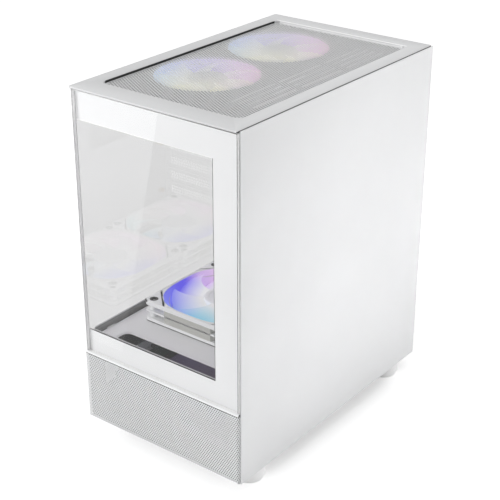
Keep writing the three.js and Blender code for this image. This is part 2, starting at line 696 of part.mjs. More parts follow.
function topBezel() {
	const skirtZ = [bezelBottom, TOP];
	const cover = rounded([LEFT, bezelRight], [FRONT, REAR], MOULDED);
	punch(cover, rounded(openingX, openingY, OPENING_RADIUS, THREE.Path));
	const skirtWall = MOULDED * 0.75;
	const skirt = rounded(shrink(openingX, -skirtWall), shrink(openingY, -skirtWall), OPENING_RADIUS + skirtWall);
	punch(skirt, rounded(openingX, openingY, OPENING_RADIUS, THREE.Path));
	return join(
		sheetZ(cover, [TOP - MOULDED, TOP]),
		sheetZ(skirt, skirtZ),
		box([bezelRight - MOULDED, bezelRight], [frameFront, REAR - MOULDED], skirtZ),
		box([faceLeft, bezelRight - MOULDED], [REAR - 2 * MOULDED, REAR - MOULDED], skirtZ),
		box([chassisLeft, bezelRight], [frameFront, frameFront + MOULDED], skirtZ),
	);
}

function topFilter() {
	const spanX = shrink(openingX, GAP);
	const spanY = shrink(openingY, GAP);
	const sheet = rounded(spanX, spanY, OPENING_RADIUS - GAP);
	punch(sheet, ...honeycomb(shrink(spanX, BAR / 2), shrink(spanY, BAR / 2), FILTER_PITCH, FILTER_HOLE));
	return sheetZ(sheet, [bezelBottom, bezelBottom + FILTER_SHEET]);
}

// ---------- Side panels ----------
function rightPanel() {
	const plate = [RIGHT - SHEET, RIGHT];
	const height = [BOTTOM, TOP - PANEL_DROP];
	const length = [FRONT + PANEL_STEP, REAR];
	const lowRail = BOTTOM;
	const highRail = TOP - TOP_RAIL_DROP - SHEET;
	const railY = [FRONT + RAIL_SETBACK, REAR];
	const reach = [railInner, RIGHT - SHEET / 2];
	const upstand = [railInner, railInner + SHEET];
	const flange = rectangle([RIGHT - SHEET - FLANGE, RIGHT - SHEET / 2], [BOTTOM, bezelBottom - GAP]);
	punch(flange, ...rightScrewZ.map((z) => ring(rightScrewX, z, SHANK_RADIUS + GAP, 8)));
	return join(
		box(plate, length, height),
		box([RIGHT - 2 * SHEET, RIGHT - SHEET / 2], [length[0], length[0] + HEM], height),
		box(reach, railY, [lowRail, lowRail + SHEET]),
		box(upstand, railY, [lowRail, lowRail + RAIL_LIP]),
		box(reach, railY, [highRail, highRail + SHEET]),
		box(upstand, railY, [highRail + SHEET - RAIL_LIP, highRail + SHEET]),
		sheetY(flange, [REAR - SHEET, REAR]),
	);
}

function leftGlass() {
	return sheetX(rounded([FRONT, wallOuter], [glassBottom, glassTop], GLASS_RADIUS), [LEFT, LEFT + GLASS]);
}

function leftGlassFrame() {
	const plate = [faceLeft, faceLeft + SHEET];
	const front = FRONT + RAIL_SETBACK;
	const rear = REAR - SHEET / 2;
	const [low, high] = shrink([glassBottom, glassTop], FRAME_INSET);
	const strips = polygon([
		[front, low], [rear, low], [rear, high], [front, high], [front, high - GLASS_STRIP],
		[rear - GLASS_STRIP, high - GLASS_STRIP], [rear - GLASS_STRIP, low + GLASS_STRIP], [front, low + GLASS_STRIP],
	]);
	const inner = chassisLeft + FRAME_LAP;
	const ears = leftScrewZ.map((z) => {
		const ear = rounded([inner - FRAME_LAP, chassisLeft + EAR_WIDTH], around(z, EAR_HEIGHT), FRAME_LAP);
		punch(ear, ring(leftScrewX, z, SHANK_RADIUS + GAP, 8));
		return sheetY(ear, [REAR - SHEET, REAR]);
	});
	const hole = (z) => rodY(SHANK_RADIUS + GAP, [REAR - 2 * SHEET, REAR + SHEET], leftScrewX, z, 12);
	const flange = join(box([LEFT, inner], [REAR - SHEET, REAR], [low, high]), ...ears);
	return join(sheetX(strips, plate), cut(flange, ...leftScrewZ.map(hole)));
}

function lowerLeftPanel() {
	const top = glassBottom - GAP;
	const front = FRONT + MESH_RETURN + GAP;
	const inward = [LEFT + SHEET / 2, chassisLeft - GAP];
	const sheet = rectangle([front, wallOuter], [BOTTOM, top]);
	const strip = rounded([stripFront, stripFront + STRIP[0]], around(stripZ, STRIP[1]), STRIP_RADIUS, THREE.Path);
	punch(sheet, strip, ...slots(intakeY, [BOTTOM + 2 * BAR, top - 2 * BAR], VENT_PITCH, VENT_SLOT));
	return join(
		sheetX(sheet, [LEFT, LEFT + SHEET]),
		box(inward, [front, wallOuter], [top - SHEET, top]),
		box([LEFT + SHEET / 2, LEFT + SHEET + SILL], [front, wallOuter], [BOTTOM, BOTTOM + SHEET]),
		box(inward, [wallInner, wallOuter], [seat, top]),
		box(inward, [frameFront, frameFront + SHEET], [seat, top]),
	);
}

// ---------- Tray, board standoffs and what is behind the tray ----------
const trayFront = FRONT + TRAY_START;
const boardTop = TOP - BOARD_TOP;
const boardRear = wallInner - BOARD_REAR;
const trayMargin = boardRear - BOARD_DEPTH - trayFront; // tray in front of the board
const slotWidth = CABLE_SLOT_SHARE * trayMargin;
const slotFront = trayFront + slotWidth;
const behindSlots = slotFront + slotWidth + BAR;
const boardHoles = BOARD_COLUMNS.flatMap((y, column) => {
	const rows = column === 2 ? BOARD_ROWS.slice(0, 2) : BOARD_ROWS;
	return rows.map((z) => [boardRear - y, boardTop - z]);
});

function tray() {
	const plate = rectangle([trayFront, innerRear], [seat, innerTop]);
	const slotY = [slotFront, slotFront + slotWidth];
	const slotStart = [0, 1].map((i) => shroudTop + CABLE_SLOT_RISE + i * CABLE_SLOT_STEP);
	const windowRear = innerRear - CPU_WINDOW_INSET;
	const passageY = FRONT + CAGE_START + CAGE_LENGTH + BAR;
	const windowHead = boardTop - CPU_WINDOW_INSET;
	const passageZ = seat + PASSAGE_RISE;
	const [large, small] = TRAY_RADIUS;
	const opening = (y, z, radius) => rounded(y, z, radius, THREE.Path);
	punch(
		plate,
		opening([windowRear - CPU_WINDOW[0], windowRear], [windowHead - CPU_WINDOW[1], windowHead], large),
		...slotStart.map((z) => opening(slotY, [z, z + CABLE_SLOT_HEIGHT], Math.min(large, slotWidth / 3))),
		opening([windowRear - POWER_SLOT[0], windowRear], around((boardTop + innerTop) / 2, POWER_SLOT[1]), small),
		opening([passageY, passageY + PASSAGE[0]], [passageZ, passageZ + PASSAGE[1]], large),
		...boardHoles.map(([y, z]) => ring(y, z, STANDOFF_STUD + GAP, 6)),
	);
	const fold = [trayLeft, trayRight + PLATE_LIP];
	return join(
		sheetX(plate, [trayLeft, trayRight]),
		box(fold, [trayFront, trayFront + SHEET], [seat, innerTop]),
		box(fold, [trayFront, innerRear], [seat, seat + SHEET]),
	);
}

// A hexagonal standoff that points up from the tray, with a threaded stud below it.
function standoff() {
	const body = rodZ(STANDOFF_RADIUS, [GAP, STANDOFF], 0, 0, 6);
	const stud = rodZ(STANDOFF_STUD, [-STANDOFF_RADIUS, STANDOFF / 2], 0, 0, 8);
	const bore = rodZ(STANDOFF_STUD - GAP, [STANDOFF / 2, STANDOFF + 1], 0, 0, 8);
	return cut(join(body, stud), bore);
}

function ssdPlate() {
	const x = [trayRight + GAP, trayRight + GAP + SSD_MARGIN];
	const [length, height] = SSD.map((side) => side + SSD_MARGIN);
	const plateY = [behindSlots, behindSlots + length];
	const plateZ = [shroudTop + CABLE_SLOT_RISE, shroudTop + CABLE_SLOT_RISE + height];
	const plate = rounded(plateY, plateZ, MOULDED);
	const middle = [plateY[0] + length / 2, plateZ[0] + height / 2];
	punch(plate, ring(...middle, SSD_WINDOW, SSD_WINDOW_SIDES));
	punch(plate, ...corners(...middle, SSD[1] / 2 - SSD_MARGIN).map(([u, v]) => ring(u, v, SCREW_HOLE, 6)));
	const feet = [[plateZ[0], plateZ[0] + SHEET], [plateZ[1] - SHEET, plateZ[1]]];
	return join(sheetX(plate, [x[1] - SHEET, x[1]]), ...feet.map((z) => box(x, shrink(plateY, BAR), z)));
}

function fanHub() {
	const [depth, length, height] = HUB;
	const [reach, along, up] = SOCKET;
	const y = [behindSlots, behindSlots + length];
	const z0 = shroudTop + CABLE_SLOT_RISE + CABLE_SLOT_STEP;
	const face = trayRight + GAP + depth;
	const sockets = row(shrink(y, along), SOCKET_PITCH);
	const holes = sockets.map((at) => box([face - reach, face + 1], around(at, along), around(z0 + height / 2, up)));
	return cut(box([trayRight + GAP, face], y, [z0, z0 + height]), ...holes);
}

// ---------- Shroud, supply pads and drive cage ----------
function shroud() {
	const spanX = [chassisLeft, trayLeft - GAP];
	const spanY = [innerFront, innerRear];
	const hatchX = [chassisLeft + HATCH_LEFT, spanX[1] - HATCH_RIGHT];
	const hatchY = [FRONT + HATCH_START, FRONT + HATCH_END];
	const hatch = rounded(hatchX, hatchY, HATCH_RADIUS, THREE.Path);
	const cableX = [spanX[1] - HATCH_RIGHT, spanX[1] - HATCH_RIGHT / 3];
	const cable = rounded(cableX, around(shroudFans[0][1], fanHole), HATCH_RADIUS / 2, THREE.Path);
	const hem = rounded(shrink(hatchX, -SHEET), shrink(hatchY, -SHEET), HATCH_RADIUS + SHEET);
	punch(hem, rounded(hatchX, hatchY, HATCH_RADIUS, THREE.Path));
	const sheetSpan = [shroudTop - SHEET, shroudTop];
	const fold = [shroudTop - PLATE_LIP, shroudTop];
	return join(
		sheetZ(punch(rectangle(spanX, spanY), hatch, cable, ...fanPorts(shroudFans)), sheetSpan),
		sheetZ(hem, [shroudTop - HATCH_HEM, shroudTop]),
		box([chassisLeft, chassisLeft + SHEET], spanY, [shroudTop - SHROUD_LIP, shroudTop]),
		box([spanX[1] - SHEET, spanX[1]], spanY, fold),
		box([chassisLeft - SHROUD_TAB, chassisLeft + SHEET], around(FRONT + HATCH_END - BAR, BAR), sheetSpan),
	);
}

function driveCage() {
	const right = trayLeft - CAGE_INSET;
	const left = right - DRIVE[0] - 2 * DRIVE_CLEARANCE - 2 * SHEET;
	const length = [FRONT + CAGE_START, FRONT + CAGE_START + CAGE_LENGTH];
	const height = [seat, seat + BAYS * BAY_PITCH + 2 * SHEET];
	const side = rectangle(length, height);
	const bay = (i) => seat + SHEET + i * BAY_PITCH;
	const windows = indices(BAYS).map((i) => CAGE_WINDOW.map((rise) => bay(i) + rise));
	punch(side, ...windows.map((z) => rounded(shrink(length, BAR), z, LEDGE, THREE.Path)));
	const deck = rectangle([left, right], length);
	punch(deck, rounded(shrink([left, right], BAR), shrink(length, BAR), HATCH_RADIUS, THREE.Path));
	const ledges = indices(BAYS).flatMap((i) => [
		box([left + SHEET / 2, left + SHEET + LEDGE], length, [bay(i) + LEDGE, bay(i) + LEDGE + SHEET]),
		box([right - SHEET - LEDGE, right - SHEET / 2], length, [bay(i) + LEDGE, bay(i) + LEDGE + SHEET]),
	]);
	return join(
		sheetX(side, [left, left + SHEET]),
		sheetX(side, [right - SHEET, right]),
		sheetZ(deck, [height[0], height[0] + SHEET]),
		box([left, right], length, [height[1] - SHEET, height[1]]),
		...ledges,
	);
}

// ---------- Fans ----------
// A fan stands on the plane z = 0 with its struts below and its open face above.
function fanFrame() {
	const corner = FAN_SIZE / 2;
	const chamfer = corner - FAN_FLANGE;
	const flange = polygon([
		[-corner, -chamfer], [-chamfer, -corner], [chamfer, -corner], [corner, -chamfer],
		[corner, chamfer], [chamfer, corner], [-chamfer, corner], [-corner, chamfer],
	]);
	punch(flange, ...corners(0, 0, fanHole).map(([u, v]) => ring(u, v, SCREW_HOLE, 6)));
	const bore = rodZ(fanBore, [-1, FAN_DEPTH + 1], 0, 0, FAN_SIDES);
	const shell = join(
		sheetZ(flange, [0, FAN_FLANGE]),
		sheetZ(flange, [FAN_DEPTH - FAN_FLANGE, FAN_DEPTH]),
		rodZ(fanBore + DUCT_WALL, [0, FAN_DEPTH], 0, 0, FAN_SIDES),
	);
	const bearing = rodZ(SHAFT_RADIUS + GAP, [STRUT_DEPTH / 2, FAN_DEPTH], 0, 0, 10);
	const motor = cut(rodZ(FAN_HUB, [0, STRUT_DEPTH], 0, 0, 16), bearing);
	return join(cut(shell, bore), motor, ...indices(STRUTS).map(strut));
}

function strut(index) {
	const start = FAN_HUB - MOULDED;
	const length = fanBore + DUCT_WALL / 2 - start;
	const bar = new THREE.BoxGeometry(length, STRUT_DEPTH, STRUT_DEPTH);
	bar.translate(start + length / 2, 0, STRUT_DEPTH / 2);
	return solid(bar.rotateZ(Math.PI / 4 + (index / STRUTS) * 2 * Math.PI));
}

function fanRotor() {
	const base = STRUT_DEPTH + HUB_CLEARANCE;
	const top = FAN_DEPTH - HUB_CLEARANCE;
	const bevel = [[FAN_HUB, top - HUB_BEVEL], [FAN_HUB - HUB_BEVEL, top]];
	const hub = solid(lathe([[0, base], [FAN_HUB, base], ...bevel, [0, top]], 2 * BLADES));
	const shaft = rodZ(SHAFT_RADIUS, [STRUT_DEPTH / 2 + GAP, base + 1], 0, 0, 10);
	return join(hub, shaft, ...indices(BLADES).map((i) => blade((i / BLADES) * 2 * Math.PI, (base + top) / 2)));
}

// One blade: sections on cylinders about the axis, from the hub out to the tip.
function blade(turn, middle) {
	const tip = fanBore - BLADE_CLEARANCE;
	const root = FAN_HUB - BLADE_THICKNESS;
	const side = (offset) => [0, 0.5, 1].map((share) => {
		const radius = root + share * (tip - root);
		return bladeSection(radius, turn + share * BLADE_SWEEP, middle + offset, share);
	});
	return slab(side(BLADE_THICKNESS / 2), side(-BLADE_THICKNESS / 2));
}

function bladeSection(radius, turn, middle, share) {
	const chord = THREE.MathUtils.lerp(...BLADE_CHORD, share);
	const pitch = THREE.MathUtils.degToRad(THREE.MathUtils.lerp(...BLADE_PITCH, share));
	return [-0.5, 0, 0.5].map((station) => {
		const rise = BLADE_CAMBER * chord * (1 - 4 * station * station);
		const along = station * chord * Math.cos(pitch) - rise * Math.sin(pitch);
		const up = station * chord * Math.sin(pitch) + rise * Math.cos(pitch);
		const angle = turn + along / radius;
		return new THREE.Vector3(radius * Math.cos(angle), radius * Math.sin(angle), middle + up);
	});
}

// A thin solid between two like grids of points, closed round their edges.
function slab(upper, lower) {
	const rows = upper.length;
	const columns = upper[0].length;
	const under = rows * columns;
	const at = (i, j) => i * columns + j;
	const cells = indices(rows - 1).flatMap((i) => indices(columns - 1).map((j) => [i, j]));
	const skin = cells.flatMap(([i, j]) => {
		const [a, b, c, d] = [at(i, j), at(i + 1, j), at(i + 1, j + 1), at(i, j + 1)];
		return [[a, b, c], [a, c, d]];
	});
	const rim = [
		...indices(rows).map((i) => at(i, 0)),
		...indices(columns - 1).map((j) => at(rows - 1, j + 1)),
		...indices(rows - 1).map((i) => at(rows - 2 - i, columns - 1)),
		...indices(columns - 2).map((j) => at(0, columns - 2 - j)),
	];
	const wall = rim.flatMap((a, i) => {
		const b = rim[(i + 1) % rim.length];
		return [[b, a, a + under], [b, a + under, b + under]];
	});
	const floor = skin.map(([a, b, c]) => [c + under, b + under, a + under]);
	const geometry = new THREE.BufferGeometry().setFromPoints([...upper.flat(), ...lower.flat()]);
	geometry.setIndex([...skin, ...floor, ...wall].flat());
	return solid(geometry);
}

// ---------- Connector strip ----------
const stripAt = (along) => stripFront + along;
const circuitFace = LEFT + BOARD_OFFSET; // front of the connector board
const switchFace = circuitFace - SWITCH;

function stripBezel() {
	const cutY = [stripFront, stripFront + STRIP[0]];
	const cutZ = around(stripZ, STRIP[1]);
	const holes = () => [
		ring(stripAt(POWER_AT), stripZ, POWER_RADIUS + GAP, 16),
		ring(stripAt(RESET_AT), stripZ, RESET_RADIUS + GAP, 10),
		ring(stripAt(AUDIO_AT), stripZ, AUDIO_RADIUS + GAP, 10),
		...USB_A_AT.map((y) => portHole(y, USB_A)),
		portHole(USB_C_AT, USB_C),
	];
	const plug = rounded(shrink(cutY, GAP), shrink(cutZ, GAP), STRIP_RADIUS - GAP);
	const flange = rectangle(shrink(cutY, -STRIP_FLANGE), shrink(cutZ, -STRIP_FLANGE));
	const posts = POSTS_AT.map((y) => rodX(MOULDED, [stripBack - MOULDED / 2, circuitFace - GAP], stripAt(y), stripZ, 8));
	return join(
		sheetX(punch(plug, ...holes()), [LEFT, stripBack]),
		sheetX(punch(flange, ...holes()), [LEFT + SHEET + GAP, stripBack]),
		...posts,
	);
}

function portHole(along, [length, height]) {
	return rectangle(around(stripAt(along), length + 2 * GAP), around(stripZ, height + 2 * GAP), THREE.Path);
}

function connectorBoard() {
	const boardY = [stripAt(POWER_AT - POWER_RADIUS), stripAt(POSTS_AT[1] + 2)];
	const boardX = [circuitFace, circuitFace + BOARD_SHEET];
	const switches = [POWER_AT, RESET_AT].map((y) => {
		return box([switchFace, circuitFace + SHEET], around(stripAt(y), SWITCH_WIDTH), around(stripZ, SWITCH_WIDTH));
	});
	return join(box(boardX, boardY, around(stripZ, STRIP[1] - 1)), ...switches);
}

// A button whose collar is trapped behind the strip; travel is left below its stem.
function button(along, radius, travel) {
	const y = stripAt(along);
	const collar = stripBack + GAP;
	return join(
		rodX(radius, [LEFT, collar + COLLAR / 2], y, stripZ, 16),
		rodX(radius + COLLAR, [collar, collar + COLLAR], y, stripZ, 16),
		rodX(radius / 2, [collar + COLLAR / 2, switchFace - travel - GAP], y, stripZ, 8),
	);
}

function usbPort(along, [length, height]) {
	const y = stripAt(along);
	const face = LEFT + PORT_RECESS;
	const back = circuitFace - GAP;
	const floor = back - PORT_FLOOR;
	const inner = [length, height].map((side) => side - 2 * PORT_WALL);
	const cavity = box([face - 1, floor], around(y, inner[0]), around(stripZ, inner[1]));
	const tongue = box([face + 1, floor + 1], around(y, inner[0] - 4 * PORT_WALL), around(stripZ, height / 4));
	return join(cut(box([face, back], around(y, length), around(stripZ, height)), cavity), tongue);
}

function audioJack() {
	const y = stripAt(AUDIO_AT);
	const face = LEFT + PORT_RECESS;
	const back = circuitFace - GAP;
	return cut(rodX(AUDIO_RADIUS, [face, back], y, stripZ, 12), rodX(JACK_BORE, [face - 1, back - 1], y, stripZ, 8));
}

// ---------- Thumbscrew ----------
// Its head stands on the plane z = 0 and its shank points down.
function thumbscrew() {
	const outline = polygon(indices(2 * FLUTES).map((i) => {
		const radius = HEAD_RADIUS - (i % 2) * FLUTE_DEPTH;
		const angle = (i / FLUTES) * Math.PI;
		return [radius * Math.cos(angle), radius * Math.sin(angle)];
	}));
	const head = sheetZ(outline, [GAP, HEAD_REACH]);
	const [width, depth] = DRIVER_SLOT;
	const slot = box(around(0, 2 * HEAD_RADIUS), around(0, width), [HEAD_REACH - depth, HEAD_REACH + 1]);
	const shank = rodZ(SHANK_RADIUS, [-SHANK_REACH, HEAD_REACH / 2], 0, 0, 8);
	return join(cut(head, slot), shank);
}

// ---------- Assembly ----------
function geometryOf(piece) {
	const { numProp, vertProperties, triVerts } = piece.getMesh();
	const geometry = new THREE.BufferGeometry();
	geometry.setAttribute('position', new THREE.BufferAttribute(vertProperties, numProp));
	geometry.setIndex(new THREE.BufferAttribute(triVerts, 1));
	return geometry;
}

function place(parent, name, geometry, material, position = [0, 0, 0]) {
	const mesh = new THREE.Mesh(geometry, material);
	mesh.name = name;
	mesh.position.set(...position);
	parent.add(mesh);
	return mesh;
}

function part(parent, name, piece, material, position) {
	return place(parent, name, geometryOf(piece), material, position);
}

function addChassis(tower) {
	part(tower, 'base_pan', basePan(), whiteSteel());
	part(tower, 'rear_wall', rearWall(), whiteSteel());
	part(tower, 'top_plate', topPlate(), whiteSteel());
	part(tower, 'front_frame', frontFrame(), whiteSteel());
	part(tower, 'motherboard_tray', tray(), whiteSteel());
	part(tower, 'supply_shroud', shroud(), whiteSteel());
	part(tower, 'lower_left_panel', lowerLeftPanel(), whiteSteel());
	part(tower, 'drive_cage', driveCage(), blackSteel());
	part(tower, 'ssd_plate', ssdPlate(), whiteSteel());
	part(tower, 'fan_hub', fanHub(), darkPlastic());
	part(tower, 'top_bezel', topBezel(), whitePlastic());
}

function addSlotCovers(tower) {
	const cover = geometryOf(slotCover());
	indices(SLOTS).forEach((i) => {
		place(tower, `slot_cover_${i + 1}`, cover, whiteSteel(), [0, 0, slotZ(i)]);
	});
	part(tower, 'slot_clamp', slotClamp(), whiteSteel());
}

function addFeet(tower) {
	const shape = geometryOf(foot());
	['front', 'rear'].forEach((end, i) => {
		place(tower, `foot_${end}_left`, shape, rubber(), [-footX, footY[i], 0]);
		place(tower, `foot_${end}_right`, shape, rubber(), [footX, footY[i], 0]);
	});
	const pad = geometryOf(supplyPad());
	const padY = shrink(intakeY, BAR);
	place(tower, 'supply_pad_front', pad, rubber(), [0, padY[0], seat]);
	place(tower, 'supply_pad_rear', pad, rubber(), [0, padY[1], seat]);
}

function addStandoffs(tower) {
	const shape = geometryOf(standoff());
	boardHoles.forEach(([y, z], i) => {
		const mesh = place(tower, `standoff_${i + 1}`, shape, brass(), [trayLeft, y, z]);
		mesh.rotation.y = -Math.PI / 2;
	});
}

function addFans(tower) {
	const frame = geometryOf(fanFrame());
	const rotor = geometryOf(fanRotor());
	const fan = (name, position, turn = [0, 0, 0]) => {
		const group = new THREE.Group();
		group.position.set(...position);
		group.rotation.set(...turn);
		place(group, `${name}_frame`, frame, whitePlastic());
		place(group, `${name}_rotor`, rotor, frostedBlade());
		tower.add(group);
	};
	['front', 'rear'].forEach((end, i) => {
		fan(`top_fan_${end}`, [...topFans[i], innerTop - FAN_DEPTH]);
		fan(`shroud_fan_${end}`, [...shroudFans[i], shroudTop + GAP]);
	});
	fan('rear_fan', [rearFanX, innerRear, rearFanZ], [Math.PI / 2, 0, 0]);
}

function addConnectors(tower) {
	part(tower, 'strip_bezel', stripBezel(), whitePlastic());
	part(tower, 'connector_board', connectorBoard(), circuitBoard());
	part(tower, 'power_button', button(POWER_AT, POWER_RADIUS, POWER_TRAVEL), whitePlastic());
	part(tower, 'reset_button', button(RESET_AT, RESET_RADIUS, RESET_TRAVEL), whitePlastic());
	USB_A_AT.forEach((y, i) => part(tower, `usb_a_port_${i + 1}`, usbPort(y, USB_A), bareSteel()));
	part(tower, 'usb_c_port', usbPort(USB_C_AT, USB_C), bareSteel());
	part(tower, 'audio_jack', audioJack(), darkPlastic());
}

function addThumbscrews(panel, name, x, heights) {
	const shape = geometryOf(thumbscrew());
	heights.forEach((z, i) => {
		const mesh = place(panel, `${name}_thumbscrew_${i + 1}`, shape, whiteSteel(), [x, REAR, z]);
		mesh.rotation.x = -Math.PI / 2;
	});
}

function frontPanel() {
	const panel = new THREE.Group();
	part(panel, 'front_glass', frontGlass(), clearGlass());
	part(panel, 'front_carrier', frontCarrier(), whitePlastic());
	part(panel, 'front_mesh', frontMesh(), whiteMesh());
	return panel;
}

function sidePanels() {
	const left = new THREE.Group();
	part(left, 'left_glass', leftGlass(), clearGlass());
	part(left, 'left_glass_frame', leftGlassFrame(), whiteSteel());
	addThumbscrews(left, 'left', leftScrewX, leftScrewZ);
	const right = new THREE.Group();
	part(right, 'right_panel', rightPanel(), whiteSteel());
	addThumbscrews(right, 'right', rightScrewX, rightScrewZ);
	return [left, right];
}

const group = new THREE.Group();
addChassis(group);
addSlotCovers(group);
addFeet(group);
addStandoffs(group);
addFans(group);
addConnectors(group);
part(group, 'top_filter', topFilter(), whiteMesh());
part(group, 'dust_filter', dustFilter(), darkPlastic());
group.add(frontPanel(), ...sidePanels());
export default group;
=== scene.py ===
# The looks of a white micro-ATX tower case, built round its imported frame. Metres, +Z up.
import math

import bmesh
import bpy
from mathutils import Matrix, Vector


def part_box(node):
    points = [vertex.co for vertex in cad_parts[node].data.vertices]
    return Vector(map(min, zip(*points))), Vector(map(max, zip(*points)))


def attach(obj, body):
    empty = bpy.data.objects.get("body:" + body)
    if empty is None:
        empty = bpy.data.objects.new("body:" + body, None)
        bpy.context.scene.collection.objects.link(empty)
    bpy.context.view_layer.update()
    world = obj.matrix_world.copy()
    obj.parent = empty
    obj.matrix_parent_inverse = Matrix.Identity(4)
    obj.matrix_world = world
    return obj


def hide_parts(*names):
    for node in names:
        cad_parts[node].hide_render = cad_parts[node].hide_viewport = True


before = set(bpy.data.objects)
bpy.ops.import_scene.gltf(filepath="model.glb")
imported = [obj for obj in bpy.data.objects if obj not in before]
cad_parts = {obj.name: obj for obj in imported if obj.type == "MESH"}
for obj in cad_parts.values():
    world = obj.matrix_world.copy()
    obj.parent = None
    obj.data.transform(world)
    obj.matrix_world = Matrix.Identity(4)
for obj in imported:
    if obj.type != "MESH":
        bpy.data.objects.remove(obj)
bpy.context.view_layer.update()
scene = bpy.context.scene
MM = 0.001
TAU = 2 * math.pi
WHITE = (1.0, 1.0, 1.0, 1.0)


# ---------- Materials ----------
class Nodes:
    """The node tree of a material or of the world, with short ways to add and join nodes."""

    def __init__(self, owner, output="ShaderNodeOutputMaterial"):
        self.owner = owner
        owner.use_nodes = True
        self.tree = owner.node_tree
        self.tree.nodes.clear()
        self.output = self.add(output)

    def add(self, kind, **values):
        """A node with its settings, or its sockets' values, by name."""
        node = self.tree.nodes.new(kind)
        for key, value in values.items():
            if hasattr(node, key):
                setattr(node, key, value)
            else:
                node.inputs[key.replace("_", " ")].default_value = value
        return node

    def join(self, source, target):
        self.tree.links.new(source, target)

    def place(self):
        """A point's place on the object, in metres."""
        return self.add("ShaderNodeTexCoord").outputs["Object"]

    def noise(self, scale, detail, roughness=0.5):
        node = self.add("ShaderNodeTexNoise", Scale=scale, Detail=detail, Roughness=roughness)
        self.join(self.place(), node.inputs["Vector"])
        return node.outputs["Fac"]

    def ramp(self, fac, stops, interpolation="LINEAR"):
        node = self.add("ShaderNodeValToRGB")
        node.color_ramp.interpolation = interpolation
        elements = node.color_ramp.elements
        while len(elements) < len(stops):
            elements.new(0.5)
        for element, (position, colour) in zip(elements, stops):
            element.position = position
            element.color = (*colour, 1.0)
        self.join(fac, node.inputs["Fac"])
        return node.outputs["Color"]

    def span(self, fac, low, high, start=0.0, end=1.0):
        """The value that goes from low to high as fac goes from start to end."""
        node = self.add("ShaderNodeMapRange", From_Min=start, From_Max=end, To_Min=low, To_Max=high)
        self.join(fac, node.inputs["Value"])
        return node.outputs["Result"]

    def maths(self, operation, first, second):
        node = self.add("ShaderNodeMath", operation=operation)
        for socket, value in zip(node.inputs, (first, second)):
            if isinstance(value, (int, float)):
                socket.default_value = value
            else:
                self.join(value, socket)
        return node.outputs["Value"]

    def blend(self, fac, first, second):
        """Colour that goes from the first to the second as fac goes from 0 to 1."""
        node = self.add("ShaderNodeMix", data_type="RGBA")
        sockets = [s for s in node.inputs if s.type == "RGBA"]
        self.join(fac, next(s for s in node.inputs if s.name == "Factor" and s.type == "VALUE"))
        for socket, value in zip(sockets, (first, second)):
            if isinstance(value, tuple):
                socket.default_value = (*value, 1.0)
            else:
                self.join(value, socket)
        return next(s for s in node.outputs if s.type == "RGBA")

    def seen(self, *rays):
        """1 for the kinds of ray named, 0 for the others."""
        path = self.add("ShaderNodeLightPath")
        value = path.outputs[f"Is {rays[0]} Ray"]
        for ray in rays[1:]:
            value = self.maths("MAXIMUM", value, path.outputs[f"Is {ray} Ray"])
        return value

    def zone(self, limits):
        """1 where each coordinate is on its side of its limit in mm, 0 elsewhere; a fade goes from 1 to 0."""
        apart = self.add("ShaderNodeSeparateXYZ")
        self.join(self.place(), apart.inputs[0])
        inside = None
        for axis, side, at in limits:
            where = apart.outputs[axis.upper()]
            if side == "fades":
                test = self.span(where, 1.0, 0.0, at[0] * MM, at[1] * MM)
            else:
                test = self.maths("GREATER_THAN" if side == "above" else "LESS_THAN", where, at * MM)
            inside = test if inside is None else self.maths("MULTIPLY", inside, test)
        return inside

    def bump(self, height, strength, distance):
        node = self.add("ShaderNodeBump", Strength=strength, Distance=distance)
        self.join(height, node.inputs["Height"])
        return node.outputs["Normal"]

    def scaled(self, vector, factors):
        node = self.add("ShaderNodeVectorMath", operation="MULTIPLY")
        node.inputs[1].default_value = factors
        self.join(vector, node.inputs[0])
        return node.outputs["Vector"]

    def mixed(self, fac, first, second):
        """The first shader where fac is 0, and the second where it is 1."""
        node = self.add("ShaderNodeMixShader")
        for socket, value in zip(node.inputs, (fac, first, second)):
            self.join(value, socket)
        return node.outputs["Shader"]

    def surface(self, shader):
        """Ends the tree with a shader, and gives back what it belongs to."""
        self.join(shader, self.output.inputs["Surface"])
        return self.owner


def material_nodes(name):
    return Nodes(bpy.data.materials.new(name))


def grey(value, tint=(1.0, 1.0, 1.0)):
    """A grey, leant towards a tint."""
    return tuple(value * share for share in tint)


GRAIN_HEIGHT = 0.2 * MM


def coated(name, colour, rough, grain=900, depth=0.06, drift=0.035, metallic=0.0, coat=0.0, zones=()):
    """Paint, moulded plastic or bare metal: slow colour drift, fine grain and uneven gloss.

    Zones have another colour: the dark ones stand for shade in narrow gaps and for depth behind a mesh.
    """
    n = material_nodes(name)
    shader = n.add("ShaderNodeBsdfPrincipled", Metallic=metallic, Coat_Weight=coat, Coat_IOR=1.62)
    dark = tuple(c * (1 - drift) for c in colour)
    light = tuple(min(c * (1 + drift / 2), 1.0) for c in colour)
    cloud = n.noise(7.0, 4.0)
    fine = n.noise(grain, 2.0, 0.6)
    tone = n.ramp(cloud, [(0.3, dark), (0.7, light)])
    for limits, other in zones:
        tone = n.blend(n.zone(limits), tone, other)
    n.join(tone, shader.inputs["Base Color"])
    n.join(n.span(fine, rough - 0.06, rough + 0.06, 0.35, 0.65), shader.inputs["Roughness"])
    n.join(n.bump(fine, depth, GRAIN_HEIGHT), shader.inputs["Normal"])
    return n.surface(shader.outputs["BSDF"])


